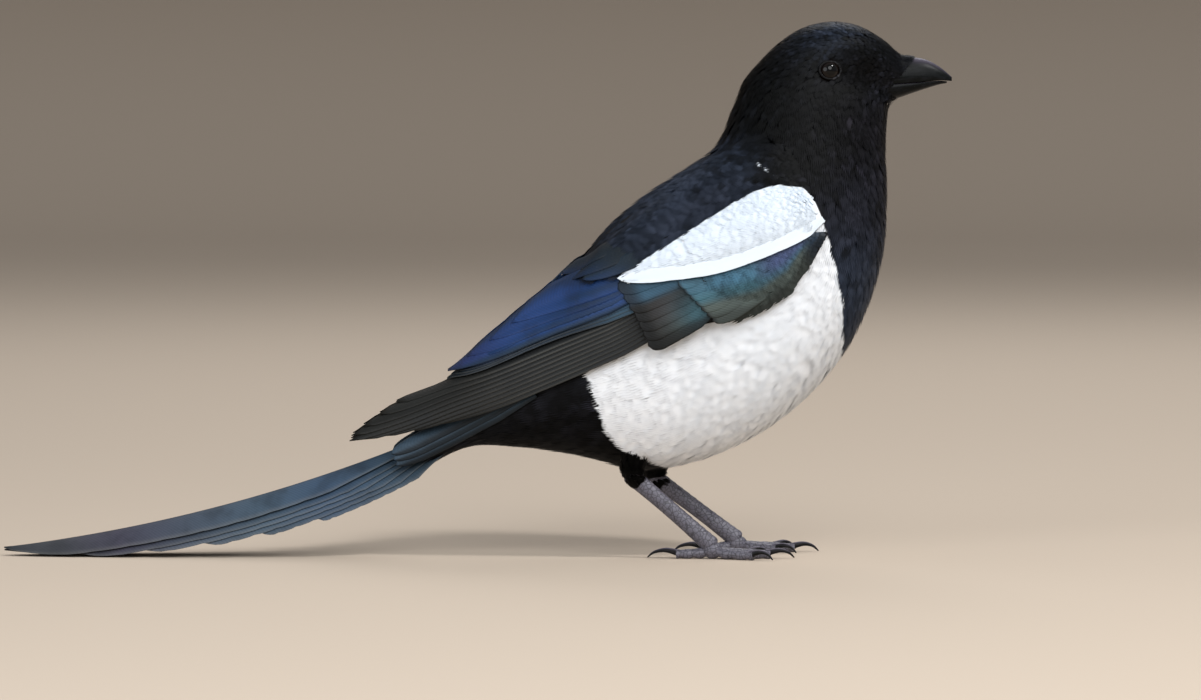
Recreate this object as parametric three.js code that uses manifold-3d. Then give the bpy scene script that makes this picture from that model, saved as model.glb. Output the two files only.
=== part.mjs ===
// A Eurasian magpie, life size, standing still on level ground with its long tail laid on it.
// Millimetres, +Z up. The bill points along +X, and the bird's right side faces -Y.
import * as THREE from "three";
import { mergeVertices } from "three/addons/utils/BufferGeometryUtils.js";
import Module from "manifold-3d";

const wasm = await Module();
wasm.setup();

const GAP = 0.35; // left between pieces that touch
const RIGHT = -1; // the sign of Y on each side
const LEFT = 1;
const SIDES = { right: RIGHT, left: LEFT };
const RAD = Math.PI / 180;

// Driving dimensions
const bodySection = { fullness: 2.2, points: 24, ringsPerRib: 1.7 };
const neckCut = { atRib: 8.05, width: GAP };
const headCut = { atRib: 10.9, width: GAP };
const eye = { x: 140.9, z: 194.6, radius: 4.9, sink: 3.2, lidRadius: 4.4, lidThick: 0.8 };
const vaneThick = 0.6;
const wing = { droop: 23.9 * RAD, wristX: 138.4, wristZ: 129.6 };
const tail = { startX: -8.4, startZ: 49.5, length: 187.5, slopeRoot: 23.5 * RAD, slopeTip: 6.9 * RAD };
const leg = { apart: 17, shinRadius: 2.5, shinDepth: 3.1, padRadius: 3.4, toeRadius: 2.1 };

// Ribs of the body: back X, Z, belly X, Z, half width, and how much wider the rib is towards the back
const bodyRibs = [
  [-11.4, 58.4, -4.8, 43.4, 9.5, 0],
  [9.6, 79, 16.8, 43.6, 18, 0],
  [30.4, 101, 41.6, 40, 27, 0],
  [49.2, 128.2, 65.6, 34.2, 33, 0],
  [65.3, 143.2, 89.6, 38, 35.5, 0],
  [77.8, 151.6, 113.6, 48.8, 36.5, 0],
  [86.9, 157.5, 135.6, 66.4, 36.5, 0],
  [93.8, 162.2, 152.4, 89.2, 35.5, 0],
  [98.4, 169, 162.4, 117.6, 33, 0],
  [101.2, 176.4, 164.4, 142.4, 29.5, 0],
  [104, 183.2, 163.8, 162.4, 26, 0.04],
  [106.8, 190, 164.6, 177.2, 22.8, 0.12],
  [112.4, 196.8, 166.8, 181.6, 20, 0.22],
  [120, 204.4, 168, 182.4, 17.8, 0.34],
  [130.4, 211.2, 168.8, 183.2, 16.2, 0.42],
  [142.4, 213.8, 169.6, 184, 14.8, 0.44],
  [153.6, 211.8, 170.2, 185, 12, 0.4],
  [162.4, 206.6, 170.8, 186, 9, 0.25],
  [169.2, 200.4, 171.2, 187, 6.2, 0.1],
];

// Ribs of the folded wings' own wrap round the body, from the wing tips forwards, in the same form
const wrapRibs = [
  [-56.4, 48, -48, 26, 8.5, 0],
  [-30.4, 60.4, -22, 38, 11.5, 0],
  [-8.5, 69.5, -4, 42, 15.5, 0],
  [12, 88.6, 16.8, 43.6, 21, 0],
  [33, 106, 41.6, 40, 28.2, 0],
  [49.2, 129, 65.6, 34.2, 33.6, 0],
  [65.3, 143.2, 89.6, 38, 35.9, 0],
  [77.8, 151.6, 113.6, 48.8, 36.9, 0],
  [86.9, 157.5, 135.6, 66.4, 36.9, 0],
  [93.8, 162.2, 152.4, 89.2, 35.9, 0],
  [98.4, 169, 162.4, 117.6, 33.4, 0],
  [101.2, 176.4, 164.4, 142.4, 29.9, 0],
];

const lerp = (a, b, t) => a + (b - a) * t;
const clamp = (x, low, high) => Math.min(Math.max(x, low), high);
const signedPower = (x, p) => Math.sign(x) * Math.abs(x) ** p;

// A smooth row of numbers between the rows of a table, t running from 0 to its last row
function between(rows, t) {
  const last = rows.length - 1;
  const i = clamp(Math.floor(t), 0, last - 1);
  const f = t - i;
  const [p0, p1, p2, p3] = [i - 1, i, i + 1, i + 2].map((n) => rows[clamp(n, 0, last)]);
  return p1.map((value, k) => {
    const leave = (p2[k] - p0[k]) / 2;
    const arrive = (p3[k] - value) / 2;
    const rise = p2[k] - value;
    const cubic = leave + arrive - 2 * rise;
    return value + leave * f + (rise - leave - cubic) * f * f + cubic * f ** 3;
  });
}

// A body stretched over ribs, each a line from back to belly with a half width
class Ribbed {
  constructor(ribs) {
    this.ribs = ribs;
    this.last = ribs.length - 1;
  }
  // The skin at rib u: q is 1 at the back and -1 at the belly, and grow moves it outwards
  widthAt(q, halfWidth, lean) {
    const p = bodySection.fullness;
    return halfWidth * (1 - Math.min(Math.abs(q), 1) ** p) ** (1 / p) * (1 + lean * q);
  }
  place(u, q, side, width) {
    const [backX, backZ, bellyX, bellyZ] = between(this.ribs, u);
    const share = (1 + q) / 2;
    return new THREE.Vector3(lerp(bellyX, backX, share), side * width, lerp(bellyZ, backZ, share));
  }
  skin(u, q, side) {
    const [, , , , halfWidth, lean] = between(this.ribs, u);
    return this.place(u, q, side, this.widthAt(q, halfWidth, lean));
  }
  ring(u, grow) {
    const [backX, backZ, bellyX, bellyZ, halfWidth, lean] = between(this.ribs, u);
    const stretch = 1 + (2 * grow) / Math.hypot(backX - bellyX, backZ - bellyZ);
    const power = 2 / bodySection.fullness;
    return Array.from({ length: bodySection.points }, (_, n) => {
      const turn = (2 * Math.PI * n) / bodySection.points;
      const q = signedPower(Math.cos(turn), power);
      const width = signedPower(Math.sin(turn), power) * (halfWidth + grow) * (1 + lean * q);
      return this.place(u, q * stretch, 1, width);
    });
  }
  loft(fromRib, toRib, grow = 0) {
    const steps = Math.round((toRib - fromRib) * bodySection.ringsPerRib);
    const rings = [];
    for (let n = 0; n <= steps; n++) rings.push(this.ring(lerp(fromRib, toRib, n / steps), grow));
    return lofted(rings);
  }
  // The rib and the height on it of a point in the side view
  locate(x, z) {
    const off = (u) => {
      const [backX, backZ, bellyX, bellyZ] = between(this.ribs, u);
      return (backX - bellyX) * (z - bellyZ) - (backZ - bellyZ) * (x - bellyX);
    };
    let [low, high] = [0, this.last];
    for (let n = 0; n < 30; n++) {
      const middle = (low + high) / 2;
      if (off(middle) < 0) low = middle;
      else high = middle;
    }
    const [backX, backZ, bellyX, bellyZ] = between(this.ribs, low);
    const [dx, dz] = [backX - bellyX, backZ - bellyZ];
    return [low, (2 * ((x - bellyX) * dx + (z - bellyZ) * dz)) / (dx * dx + dz * dz) - 1];
  }
  // A point that stands off the skin, over a point of the side view
  over(x, z, side, off, nearestBack = 0.985) {
    const [u, found] = this.locate(x, z);
    const q = clamp(found, -0.985, nearestBack);
    const at = this.skin(u, q, side);
    const step = 0.02;
    const alongBody = this.skin(clamp(u + step, 0, this.last), q, side).sub(
      this.skin(clamp(u - step, 0, this.last), q, side),
    );
    const downBody = this.skin(u, q - step, side).sub(this.skin(u, Math.min(q + step, 1), side));
    const out = alongBody.cross(downBody).normalize();
    if (out.y * side < 0) out.negate();
    return at.addScaledVector(out, off);
  }
}

// Solids are kept as closed indexed meshes, and joined and cut as one manifold each
function solidOf(geometry) {
  const bare = geometry.index ? geometry.toNonIndexed() : geometry.clone();
  bare.deleteAttribute("normal");
  bare.deleteAttribute("uv");
  const merged = mergeVertices(bare, 1e-4);
  const vertProperties = new Float32Array(merged.attributes.position.array);
  const triVerts = new Uint32Array(merged.index.array);
  const made = new wasm.Manifold(new wasm.Mesh({ numProp: 3, vertProperties, triVerts }));
  if (made.volume() > 0) return made;
  for (let i = 0; i < triVerts.length; i += 3) {
    [triVerts[i + 1], triVerts[i + 2]] = [triVerts[i + 2], triVerts[i + 1]];
  }
  return new wasm.Manifold(new wasm.Mesh({ numProp: 3, vertProperties, triVerts }));
}

function geometryOf(solid) {
  const mesh = solid.getMesh();
  const positions = new THREE.BufferAttribute(new Float32Array(mesh.vertProperties), 3);
  const geometry = new THREE.BufferGeometry().setAttribute("position", positions);
  geometry.setIndex(new THREE.BufferAttribute(new Uint32Array(mesh.triVerts), 1));
  return geometry;
}

const joined = (solids) => solids.reduce((all, one) => all.add(one));

function largest(solid) {
  const pieces = solid.decompose();
  return pieces.reduce((best, piece) => (piece.volume() > best.volume() ? piece : best));
}

function closedMesh(points, faces) {
  const geometry = new THREE.BufferGeometry().setFromPoints(points);
  geometry.setIndex(faces.flat());
  return solidOf(geometry);
}

// A closed body through rings of equally many points, its two ends filled
function lofted(rings) {
  const count = rings[0].length;
  const points = rings.flat();
  const faces = [];
  for (let r = 0; r < rings.length - 1; r++) {
    for (let n = 0; n < count; n++) {
      const [a, b] = [r * count + n, r * count + ((n + 1) % count)];
      faces.push([a, b, b + count], [a, b + count, a + count]);
    }
  }
  const middle = (ring) => ring.reduce((sum, p) => sum.add(p), new THREE.Vector3()).divideScalar(count);
  const first = points.push(middle(rings[0])) - 1;
  const end = points.push(middle(rings.at(-1))) - 1;
  const lastRing = (rings.length - 1) * count;
  for (let n = 0; n < count; n++) {
    const next = (n + 1) % count;
    faces.push([first, next, n], [end, lastRing + n, lastRing + next]);
  }
  return closedMesh(points, faces);
}

// A closed plate between two faces, split into triangles alike on both
function plate(steps, across, face) {
  const rows = steps + 1;
  const columns = across + 1;
  const points = [];
  const outerCount = rows * columns;
  for (const level of [1, 0]) {
    for (let i = 0; i < rows; i++) {
      for (let j = 0; j < columns; j++) points.push(face(i / steps, j / across, level));
    }
  }
  const faces = [];
  const at = (i, j) => i * columns + j;
  for (let i = 0; i < steps; i++) {
    for (let j = 0; j < across; j++) {
      const [a, b, c, d] = [at(i, j), at(i + 1, j), at(i + 1, j + 1), at(i, j + 1)];
      faces.push([a, b, c], [a, c, d]);
      faces.push([outerCount + a, outerCount + c, outerCount + b]);
      faces.push([outerCount + a, outerCount + d, outerCount + c]);
    }
  }
  const wall = (a, b) => {
    faces.push([b, a, outerCount + a], [b, outerCount + a, outerCount + b]);
  };
  for (let i = 0; i < steps; i++) {
    wall(at(i, 0), at(i + 1, 0));
    wall(at(i + 1, across), at(i, across));
  }
  for (let j = 0; j < across; j++) {
    wall(at(0, j + 1), at(0, j));
    wall(at(steps, j), at(steps, j + 1));
  }
  return closedMesh(points, faces);
}

// A tube of round rings along a path, its radius and flattening given along it
function limb(path, radiusAt, { points = 10, steps = 8, depth = 1 } = {}) {
  const curve = new THREE.CatmullRomCurve3(path.map((p) => new THREE.Vector3(...p)));
  const rings = [];
  for (let n = 0; n <= steps; n++) {
    const at = curve.getPoint(n / steps);
    const tangent = curve.getTangent(n / steps);
    const side = new THREE.Vector3().crossVectors(new THREE.Vector3(0, 0, 1), tangent);
    if (side.length() < 1e-3) side.set(0, 1, 0);
    side.normalize();
    const up = new THREE.Vector3().crossVectors(tangent, side);
    const radius = radiusAt(n / steps);
    rings.push(
      Array.from({ length: points }, (_, k) => {
        const turn = (2 * Math.PI * k) / points;
        return at
          .clone()
          .addScaledVector(side, radius * Math.cos(turn))
          .addScaledVector(up, radius * depth * Math.sin(turn));
      }),
    );
  }
  return lofted(rings);
}

function boxAround(width, depth, height, x, y, z, pitch = 0) {
  const box = new THREE.BoxGeometry(width, depth, height).rotateY(pitch).translate(x, y, z);
  return solidOf(box);
}

// The ground, cut away from all that would dip into it
const belowGround = boxAround(1000, 400, 40, 0, 0, -20);

const body = new Ribbed(bodyRibs);
const wrap = new Ribbed(wrapRibs);

// Head, neck and torso are one form, parted by thin cuts along two ribs
function slabAt(ribbed, rib, width) {
  const [backX, backZ, bellyX, bellyZ] = between(ribbed.ribs, rib);
  const pitch = Math.atan2(backX - bellyX, backZ - bellyZ);
  return boxAround(width, 140, 160, (backX + bellyX) / 2, 0, (backZ + bellyZ) / 2, pitch);
}

function partedBody() {
  const whole = body.loft(0, body.last);
  const cut = whole
    .subtract(slabAt(body, neckCut.atRib, neckCut.width))
    .subtract(slabAt(body, headCut.atRib, headCut.width));
  const pieces = cut.decompose().map((piece) => {
    const box = piece.boundingBox();
    return { piece, height: (box.min[2] + box.max[2]) / 2 };
  });
  pieces.sort((one, other) => one.height - other.height);
  return pieces.map(({ piece }) => piece);
}

// Side-view places on the folded wing: a runs back from the wrist, b up across the wing
function wingPoint(a, b, side, off) {
  const x = wing.wristX - a * Math.cos(wing.droop) - b * Math.sin(wing.droop);
  const z = wing.wristZ - a * Math.sin(wing.droop) + b * Math.cos(wing.droop);
  return wrap.over(x, z, side, off);
}

// How a vane's half width grows from its quill and draws in to its tip
function vaneShape(s, point) {
  const root = 0.5 + 0.5 * Math.min(s / 0.3, 1);
  const start = 1 - point;
  const tip = s < start ? 1 : Math.sqrt(Math.max(1 - ((s - start) / point) ** 2, 0));
  return Math.max(root * tip, 0.14);
}

// One feather of the wing. Its lower edge stands out, so that it laps the feather below it
function wingVane({ start, middle, tip, width, lift, tilt, side, grow = 0, point = 0.28, steps = 6 }) {
  const at = (s) => [0, 1].map((k) => (1 - s) ** 2 * start[k] + 2 * s * (1 - s) * middle[k] + s * s * tip[k]);
  return plate(steps, 1, (s, t, level) => {
    const [a, b] = at(s);
    const [nextA, nextB] = at(Math.min(s + 0.01, 1));
    const [lastA, lastB] = at(Math.max(s - 0.01, 0));
    const length = Math.hypot(nextA - lastA, nextB - lastB);
    const [goA, goB] = [(nextA - lastA) / length, (nextB - lastB) / length];
    const reach = (width / 2) * vaneShape(s, point) + grow;
    const over = (1 - 2 * t) * reach; // from the upper edge to the lower
    const layer = lift[0] + (lift[1] - lift[0]) * s - tilt * over;
    const thickness = (level ? 1 : -1) * (vaneThick / 2 + grow);
    const end = s === 0 ? -grow : s === 1 ? grow : 0;
    return wingPoint(a - goB * over + goA * end, b + goA * over + goB * end, side, layer + thickness);
  });
}

// Tips of the longest quills, from the hand's lowest one upwards
const primaryTips = [
  [172, -6.6],
  [187, -4.4],
  [198, -2.3],
  [206, -0.4],
  [203, 1.3],
  [194, 2.9],
  [183, 4.6],
];
const tiers = {
  secondaries: { count: 5, width: 9 },
  tertials: { count: 3, width: 12 },
  coverts: { count: 6, width: 8 },
  thumbQuills: { count: 4, width: 7.5 },
};

const count = (tier) => Array.from({ length: tier.count }, (_, n) => n);

const primary = (tip, n) => ({
  start: [60, -6.5 + 1.9 * n],
  middle: [112, -10.4 + 2.35 * n],
  tip,
  width: 7,
  lift: [1.9, 1.9 + 0.12 * n],
  tilt: 0.45,
});
const secondary = (n) => ({
  start: [62, 3 + 2.5 * n],
  middle: [112, 11 + n],
  tip: [160 - 3.5 * n, 5.5 + 0.6 * n],
  width: tiers.secondaries.width,
  lift: [3.1, 3.1 + 0.5 * n],
  tilt: 0.3,
  point: 0.22,
});
const tertial = (n) => ({
  start: [62 + 2 * n, 10 + 3 * n],
  middle: [108 - 7 * n, 13.5 + 3 * n],
  tip: [158 - 16 * n, 4.5 + 4 * n],
  width: tiers.tertials.width,
  lift: [4.4, 6.2 + 0.3 * n],
  tilt: 0.2,
  point: 0.35,
});
const covert = (n) => ({
  start: [24 + 3 * n, -7 + 4.3 * n],
  middle: [40 + 3.4 * n, -9 + 4.6 * n],
  tip: [56.5 + 4 * n, -11 + 4.6 * n],
  width: tiers.coverts.width,
  lift: [2.6, 6 + 0.2 * n],
  tilt: 0.18,
  point: 0.5,
  steps: 4,
});
const thumbQuill = (n) => ({
  start: [50, -8 + 3.2 * n],
  middle: [68, -8.6 + 3.8 * n],
  tip: [88 - n, -8.4 + 4 * n],
  width: tiers.thumbQuills.width,
  lift: [2.4, 4.9 + 0.2 * n],
  tilt: 0.22,
  point: 0.5,
  steps: 4,
});

function wingSolid(side) {
  const feathers = [
    ...primaryTips.map(primary),
    ...count(tiers.secondaries).map(secondary),
    ...count(tiers.tertials).map(tertial),
    ...count(tiers.coverts).map(covert),
    ...count(tiers.thumbQuills).map(thumbQuill),
  ];
  return joined([wingArm(side, 0), ...feathers.map((feather) => wingVane({ ...feather, side }))]);
}

// What the scapulars lie over, grown by the gap
function wingUnderScapulars(side) {
  const under = [...count(tiers.tertials).map(tertial), secondary(4), covert(4), covert(5)];
  return joined([wingArm(side, GAP), ...under.map((feather) => wingVane({ ...feather, side, grow: GAP }))]);
}

// The wing's arm under its coverts: half width, and the middle's height, along it
const armShape = [
  [-1, 0.4, 0.6, 1.5],
  [8, -1.2, 6, 3.4],
  [20, -3, 11.6, 4.4],
  [36, -2.4, 13.8, 5],
  [54, 1.6, 15.6, 5.6],
  [72, 5.8, 15.6, 5.6],
  [88, 9.6, 11.6, 4.6],
];

function wingArm(side, grow) {
  return plate(9, 4, (s, t, level) => {
    const [a, middle, half, high] = between(armShape, s * (armShape.length - 1));
    const over = 1 - 2 * t;
    const crown = high * Math.sqrt(1 - 0.7 * over * over);
    return wingPoint(a, middle + over * (half + grow), side, level ? crown + grow : 0.1 - grow);
  });
}

// The scapulars, a pad of feathers over the wing's root: place along, middle, half width, height
const scapularShape = [
  [-3, 9.4, 3, 2.5],
  [4, 12.2, 9.8, 5.2],
  [20, 13, 12.4, 7.4],
  [36, 12.8, 11.2, 7.8],
  [52, 13.2, 9.2, 8],
  [68, 13.6, 5.6, 8],
  [81, 14.4, 1.2, 7.4],
];

function scapulars(side) {
  return plate(9, 4, (s, t, level) => {
    const [a, middle, half, high] = between(scapularShape, s * (scapularShape.length - 1));
    const over = 1 - 2 * t;
    const crown = high * Math.sqrt(1 - 0.6 * over * over);
    return wingPoint(a, middle + over * half, side, level ? crown : -1);
  });
}

// The tail's line: where it is and which way it slopes, s running from its root to its tip
function tailFrame(s) {
  const steps = 24;
  let [x, z] = [tail.startX, tail.startZ];
  for (let n = 0; n < steps; n++) {
    const slope = lerp(tail.slopeRoot, tail.slopeTip, (s * (n + 0.5)) / steps);
    x -= (Math.cos(slope) * tail.length * s) / steps;
    z -= (Math.sin(slope) * tail.length * s) / steps;
  }
  return { x, z, slope: lerp(tail.slopeRoot, tail.slopeTip, s) };
}

// Half width of the closed tail, and how far its edges droop below its ridge
const tailShape = [
  [8, 5],
  [11, 8],
  [13.5, 10],
  [14.5, 11],
  [14, 10.5],
  [12.5, 9],
  [9, 6],
];

function tailPoint(s, y, off) {
  const { x, z, slope } = tailFrame(s);
  const [half, droop] = between(tailShape, clamp(s, 0, 1) * (tailShape.length - 1));
  const rise = 2.6 - droop * Math.abs(y / half) ** 1.7 + off;
  return new THREE.Vector3(x - Math.sin(slope) * rise, y, z + Math.cos(slope) * rise);
}

const tailTips = [1, 0.885, 0.755, 0.625, 0.495, 0.365]; // from the middle pair outwards
const tailRootAt = 0.03;
const tailLayer = 0.94;

function tailVane(side, n) {
  const layer = n === 0 ? (side === RIGHT ? 0 : 1) : n + 1;
  const tip = tailTips[n];
  const inner = n === 0 ? 5 : -0.5;
  return plate(7, 2, (s, t, level) => {
    const at = lerp(tailRootAt, tip, s);
    const [half] = between(tailShape, at * (tailShape.length - 1));
    const shape = vaneShape(s, 0.16);
    const outer = Math.min(half * (0.8 + 0.06 * n), half + 1.2) * shape;
    const edge = lerp(side * outer, -side * inner * shape, t);
    const thickness = (level ? 0.5 : -0.5) * vaneThick;
    return tailPoint(at, edge, -tailLayer * layer + thickness);
  });
}

function tailSolid() {
  const root = [];
  for (let n = 0; n <= 5; n++) {
    const s = n / 5;
    const { x, z, slope } = tailFrame(lerp(0.002, 0.17, s));
    const shrink = Math.sqrt(1 - 0.9 * s * s);
    root.push(
      Array.from({ length: 16 }, (_, k) => {
        const turn = (2 * Math.PI * k) / 16;
        const up = (Math.sin(turn) > 0 ? 5.6 : 7.2) * Math.sin(turn) * shrink;
        const out = 8.6 * Math.cos(turn) * shrink;
        return new THREE.Vector3(x - Math.sin(slope) * up, out, z + Math.cos(slope) * up);
      }),
    );
  }
  const vanes = tailTips.flatMap((_, n) => [tailVane(RIGHT, n), tailVane(LEFT, n)]);
  return largest(joined([lofted(root), ...vanes]).subtract(belowGround));
}

// The bill, each half a loft of rounded sections: X, top, bottom, half width
const upperBillSections = [
  [160, 199, 188.6, 8.2],
  [168, 199.6, 189.2, 7.2],
  [174, 199.5, 189.6, 6],
  [180, 198.4, 190.1, 4.7],
  [185.5, 195.4, 190.4, 3.2],
  [190, 191.6, 190, 1.2],
];
const lowerBillSections = [
  [160, 188.1, 181.8, 8],
  [168, 188.7, 183, 6.8],
  [174, 189.1, 185, 5.5],
  [180, 189.6, 187, 4],
  [185, 190, 188.5, 2.6],
  [188, 189.8, 189.1, 1.2],
];

function billHalf(sections, upward) {
  const steps = 7;
  const rings = [];
  for (let n = 0; n <= steps; n++) {
    const [x, top, bottom, half] = between(sections, (n / steps) * (sections.length - 1));
    const height = top - bottom;
    const arch = Array.from({ length: 7 }, (_, k) => {
      const turn = (Math.PI * k) / 6;
      const rise = Math.sin(turn) ** 0.9 * height;
      const y = half * signedPower(Math.cos(turn), 0.85);
      return new THREE.Vector3(x, y, upward ? bottom + rise : top - rise);
    });
    rings.push(arch);
  }
  return lofted(rings);
}

// A lid's rim stands round each eye, facing as the head does there
function eyePlace(side) {
  const at = body.over(eye.x, eye.z, side, 0);
  const out = body.over(eye.x, eye.z, side, 1).sub(at);
  return { centre: at.clone().addScaledVector(out, -eye.sink), rim: at, out };
}

function lidRim(side) {
  const { rim, out } = eyePlace(side);
  const ring = new THREE.TorusGeometry(eye.lidRadius, eye.lidThick, 5, 14);
  const turn = new THREE.Quaternion().setFromUnitVectors(new THREE.Vector3(0, 0, 1), out);
  return solidOf(ring.applyQuaternion(turn).translate(...rim.addScaledVector(out, -0.35)));
}

function eyeBall(side, grow = 0) {
  const ball = new THREE.SphereGeometry(eye.radius + grow, 14, 8);
  return solidOf(ball.translate(...eyePlace(side).centre));
}

// Bristles lie forward from the brow over the nostrils and the root of the bill
const bristles = { count: 5, length: 15, width: 3, dip: 1.7 };

function bristle(side, n, grow = 0) {
  const share = n / (bristles.count - 1);
  const start = [160.5 - 3.4 * share, 204.6 - 11.5 * share];
  const end = [start[0] + bristles.length * (1 - 0.22 * share), 200.6 - 8.2 * share];
  return plate(4, 1, (s, t, level) => {
    const x = lerp(start[0], end[0], s) + grow * s;
    const z = lerp(start[1], end[1], s) - bristles.dip * Math.sin((Math.PI / 2) * s) ** 0.8;
    const half = (bristles.width / 2) * (1 - 0.75 * s) + grow;
    const nearHead = body.over(start[0], start[1], side, 0).y * side;
    const nearBill = 2.2 + 4.6 * share;
    const thickness = (level ? 0.55 : -0.45) * (1 - 0.4 * s) + (level ? grow : -grow);
    const y = side * (lerp(nearHead - 1.2, nearBill, s) + thickness);
    return new THREE.Vector3(x, y, z + lerp(half, -half, t));
  });
}

// A groove for the corner of the mouth, from the bill back to below the eye
const gapeLine = [
  [149.6, 187],
  [155, 188],
  [161, 188.6],
];

function gapeGroove(side) {
  return plate(4, 1, (s, t, level) => {
    const [x, z] = between(gapeLine, s * (gapeLine.length - 1));
    return body.over(x, z + (t ? -0.35 : 0.35) * (0.4 + s), side, level ? 2 : -1);
  });
}

function gapeLip(side, below) {
  return plate(4, 1, (s, t, level) => {
    const [x, z] = between(gapeLine, s * (gapeLine.length - 1));
    const edge = (t ? 1.7 : 0.2) * (0.3 + 0.7 * s) * (below ? -1 : 1);
    return body.over(x, z + edge, side, level ? (t ? 0.1 : 0.75) : -1.2);
  });
}

function headSolid(plain) {
  const added = [plain];
  for (const side of Object.values(SIDES)) {
    added.push(lidRim(side), gapeLip(side, true), gapeLip(side, false));
    for (let n = 0; n < bristles.count; n++) added.push(bristle(side, n));
  }
  let made = joined(added);
  for (const side of Object.values(SIDES)) {
    made = made.subtract(gapeGroove(side)).subtract(eyeBall(side, GAP));
  }
  return made;
}

// Each leg: the ankle inside the thigh's feathers, the foot's pad, and the way its toes point
const legs = {
  right: { ankle: [61.8, 33.4], pad: [94.4, 4.6] },
  left: { ankle: [71, 30.4], pad: [105, 4.6] },
};
const toes = [
  { turn: -24, length: 17, claw: 8.6 },
  { turn: 0, length: 23, claw: 9.6 },
  { turn: 27, length: 18, claw: 8.6 },
  { turn: 184, length: 14.5, claw: 11.5 },
];

function thigh(name, grow = 0) {
  const side = SIDES[name];
  const [x, z] = legs[name].ankle;
  const y = side * leg.apart;
  return limb(
    [
      [x + 9, y * 0.98, z + 26],
      [x + 4, y, z + 13],
      [x + 0.6, y, z + 1],
    ],
    (s) => lerp(10.5, 4.2, s ** 1.3) + grow,
    { points: 12, steps: 5 },
  );
}

function shin(name, grow = 0) {
  const side = SIDES[name];
  const [x, z] = legs[name].ankle;
  const [padX, padZ] = legs[name].pad;
  const y = side * leg.apart;
  return limb(
    [
      [x - 1.2, y, z + 1],
      [lerp(x, padX, 0.5), y, lerp(z, padZ, 0.5) + 0.4],
      [padX - 1.2, y, padZ + 1.6],
    ],
    (s) => leg.shinRadius * (1 + 0.28 * (2 * s - 1) ** 2) + grow,
    { points: 10, steps: 6, depth: leg.shinDepth / leg.shinRadius },
  );
}

function toeEnd(name, { turn, length }) {
  const side = SIDES[name];
  const [padX] = legs[name].pad;
  const heading = side * turn * RAD;
  return (far, height) => [
    padX + Math.cos(heading) * length * far,
    side * leg.apart + Math.sin(heading) * length * far,
    height,
  ];
}

function footSolid(name, grow = 0) {
  const side = SIDES[name];
  const [padX, padZ] = legs[name].pad;
  const ball = new THREE.SphereGeometry(leg.padRadius + grow, 10, 6).scale(1.15, 1, 1);
  const pieces = [solidOf(ball.translate(padX, side * leg.apart, padZ - 1.2))];
  for (const toe of toes) {
    const at = toeEnd(name, toe);
    pieces.push(
      limb(
        [at(0, 3), at(0.35, 2.3), at(0.7, 1.9), at(1, 1.8)],
        (s) => leg.toeRadius * (1 - 0.16 * s) + grow,
        { points: 8, steps: 7 },
      ),
    );
  }
  return joined(pieces).subtract(belowGround);
}

function claw(name, toe) {
  const at = toeEnd(name, toe);
  const reach = toe.claw / toe.length;
  return limb(
    [at(0.93, 2.3), at(1 + reach * 0.35, 3.4), at(1 + reach * 0.75, 2.6), at(1 + reach, 0.5)],
    (s) => lerp(1.5, 0.28, s ** 0.8),
    { points: 6, steps: 5 },
  ).subtract(belowGround);
}

// Colours and gloss
const finish = (color, roughness) => new THREE.MeshStandardMaterial({ color, roughness, metalness: 0 });
const hoodBlack = finish(0x15151b, 0.7);
const snow = finish(0xe9edf0, 0.8);
const wingBlue = finish(0x1f3c6e, 0.4);
const tailBlue = finish(0x2b4c6a, 0.4);
const hornBlack = finish(0x1b1b20, 0.35);
const legGrey = finish(0x2c2a33, 0.5);
const eyeBrown = finish(0x120d0b, 0.08);

const magpie = new THREE.Group();
magpie.name = "magpie";

function addNode(name, solid, material) {
  const mesh = new THREE.Mesh(geometryOf(largest(solid)), material);
  mesh.name = name;
  magpie.add(mesh);
}

const grownBody = body.loft(0, body.last, GAP);
const [torso, neck, plainHead] = partedBody();
const head = headSolid(plainHead);
const headClear = body.loft(9, body.last, GAP);

addNode("torso", torso, snow);
addNode("neck", neck, hoodBlack);
addNode("head", head, hoodBlack);
addNode("tail", tailSolid(), tailBlue);

let billUpper = billHalf(upperBillSections, true).subtract(headClear);
let billLower = billHalf(lowerBillSections, false).subtract(headClear);
for (const side of Object.values(SIDES)) {
  const locks = joined(Array.from({ length: bristles.count }, (_, n) => bristle(side, n, GAP)));
  billUpper = billUpper.subtract(locks);
  billLower = billLower.subtract(locks);
}
addNode("bill_upper", billUpper, hornBlack);
addNode("bill_lower", billLower, hornBlack);

for (const [name, side] of Object.entries(SIDES)) {
  addNode(`${name}_wing`, wingSolid(side).subtract(grownBody), wingBlue);
  const shoulder = scapulars(side).subtract(wingUnderScapulars(side)).subtract(grownBody);
  addNode(`${name}_scapulars`, shoulder, snow);
  addNode(`${name}_eye`, eyeBall(side), eyeBrown);

  addNode(`${name}_thigh`, thigh(name).subtract(grownBody).subtract(shin(name, GAP)), hoodBlack);
  addNode(`${name}_shin`, shin(name).subtract(grownBody).subtract(footSolid(name, GAP)), legGrey);
  addNode(`${name}_foot`, footSolid(name), legGrey);
  toes.forEach((toe, n) => {
    addNode(`${name}_claw_${n + 1}`, claw(name, toe).subtract(footSolid(name, GAP)), hornBlack);
  });
}

// The origin lies on the ground under the middle of the bird
const extent = new THREE.Box3().setFromObject(magpie);
const middle = extent.getCenter(new THREE.Vector3());
magpie.position.set(-middle.x, -middle.y, 0);

export default magpie;
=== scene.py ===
import math

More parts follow.
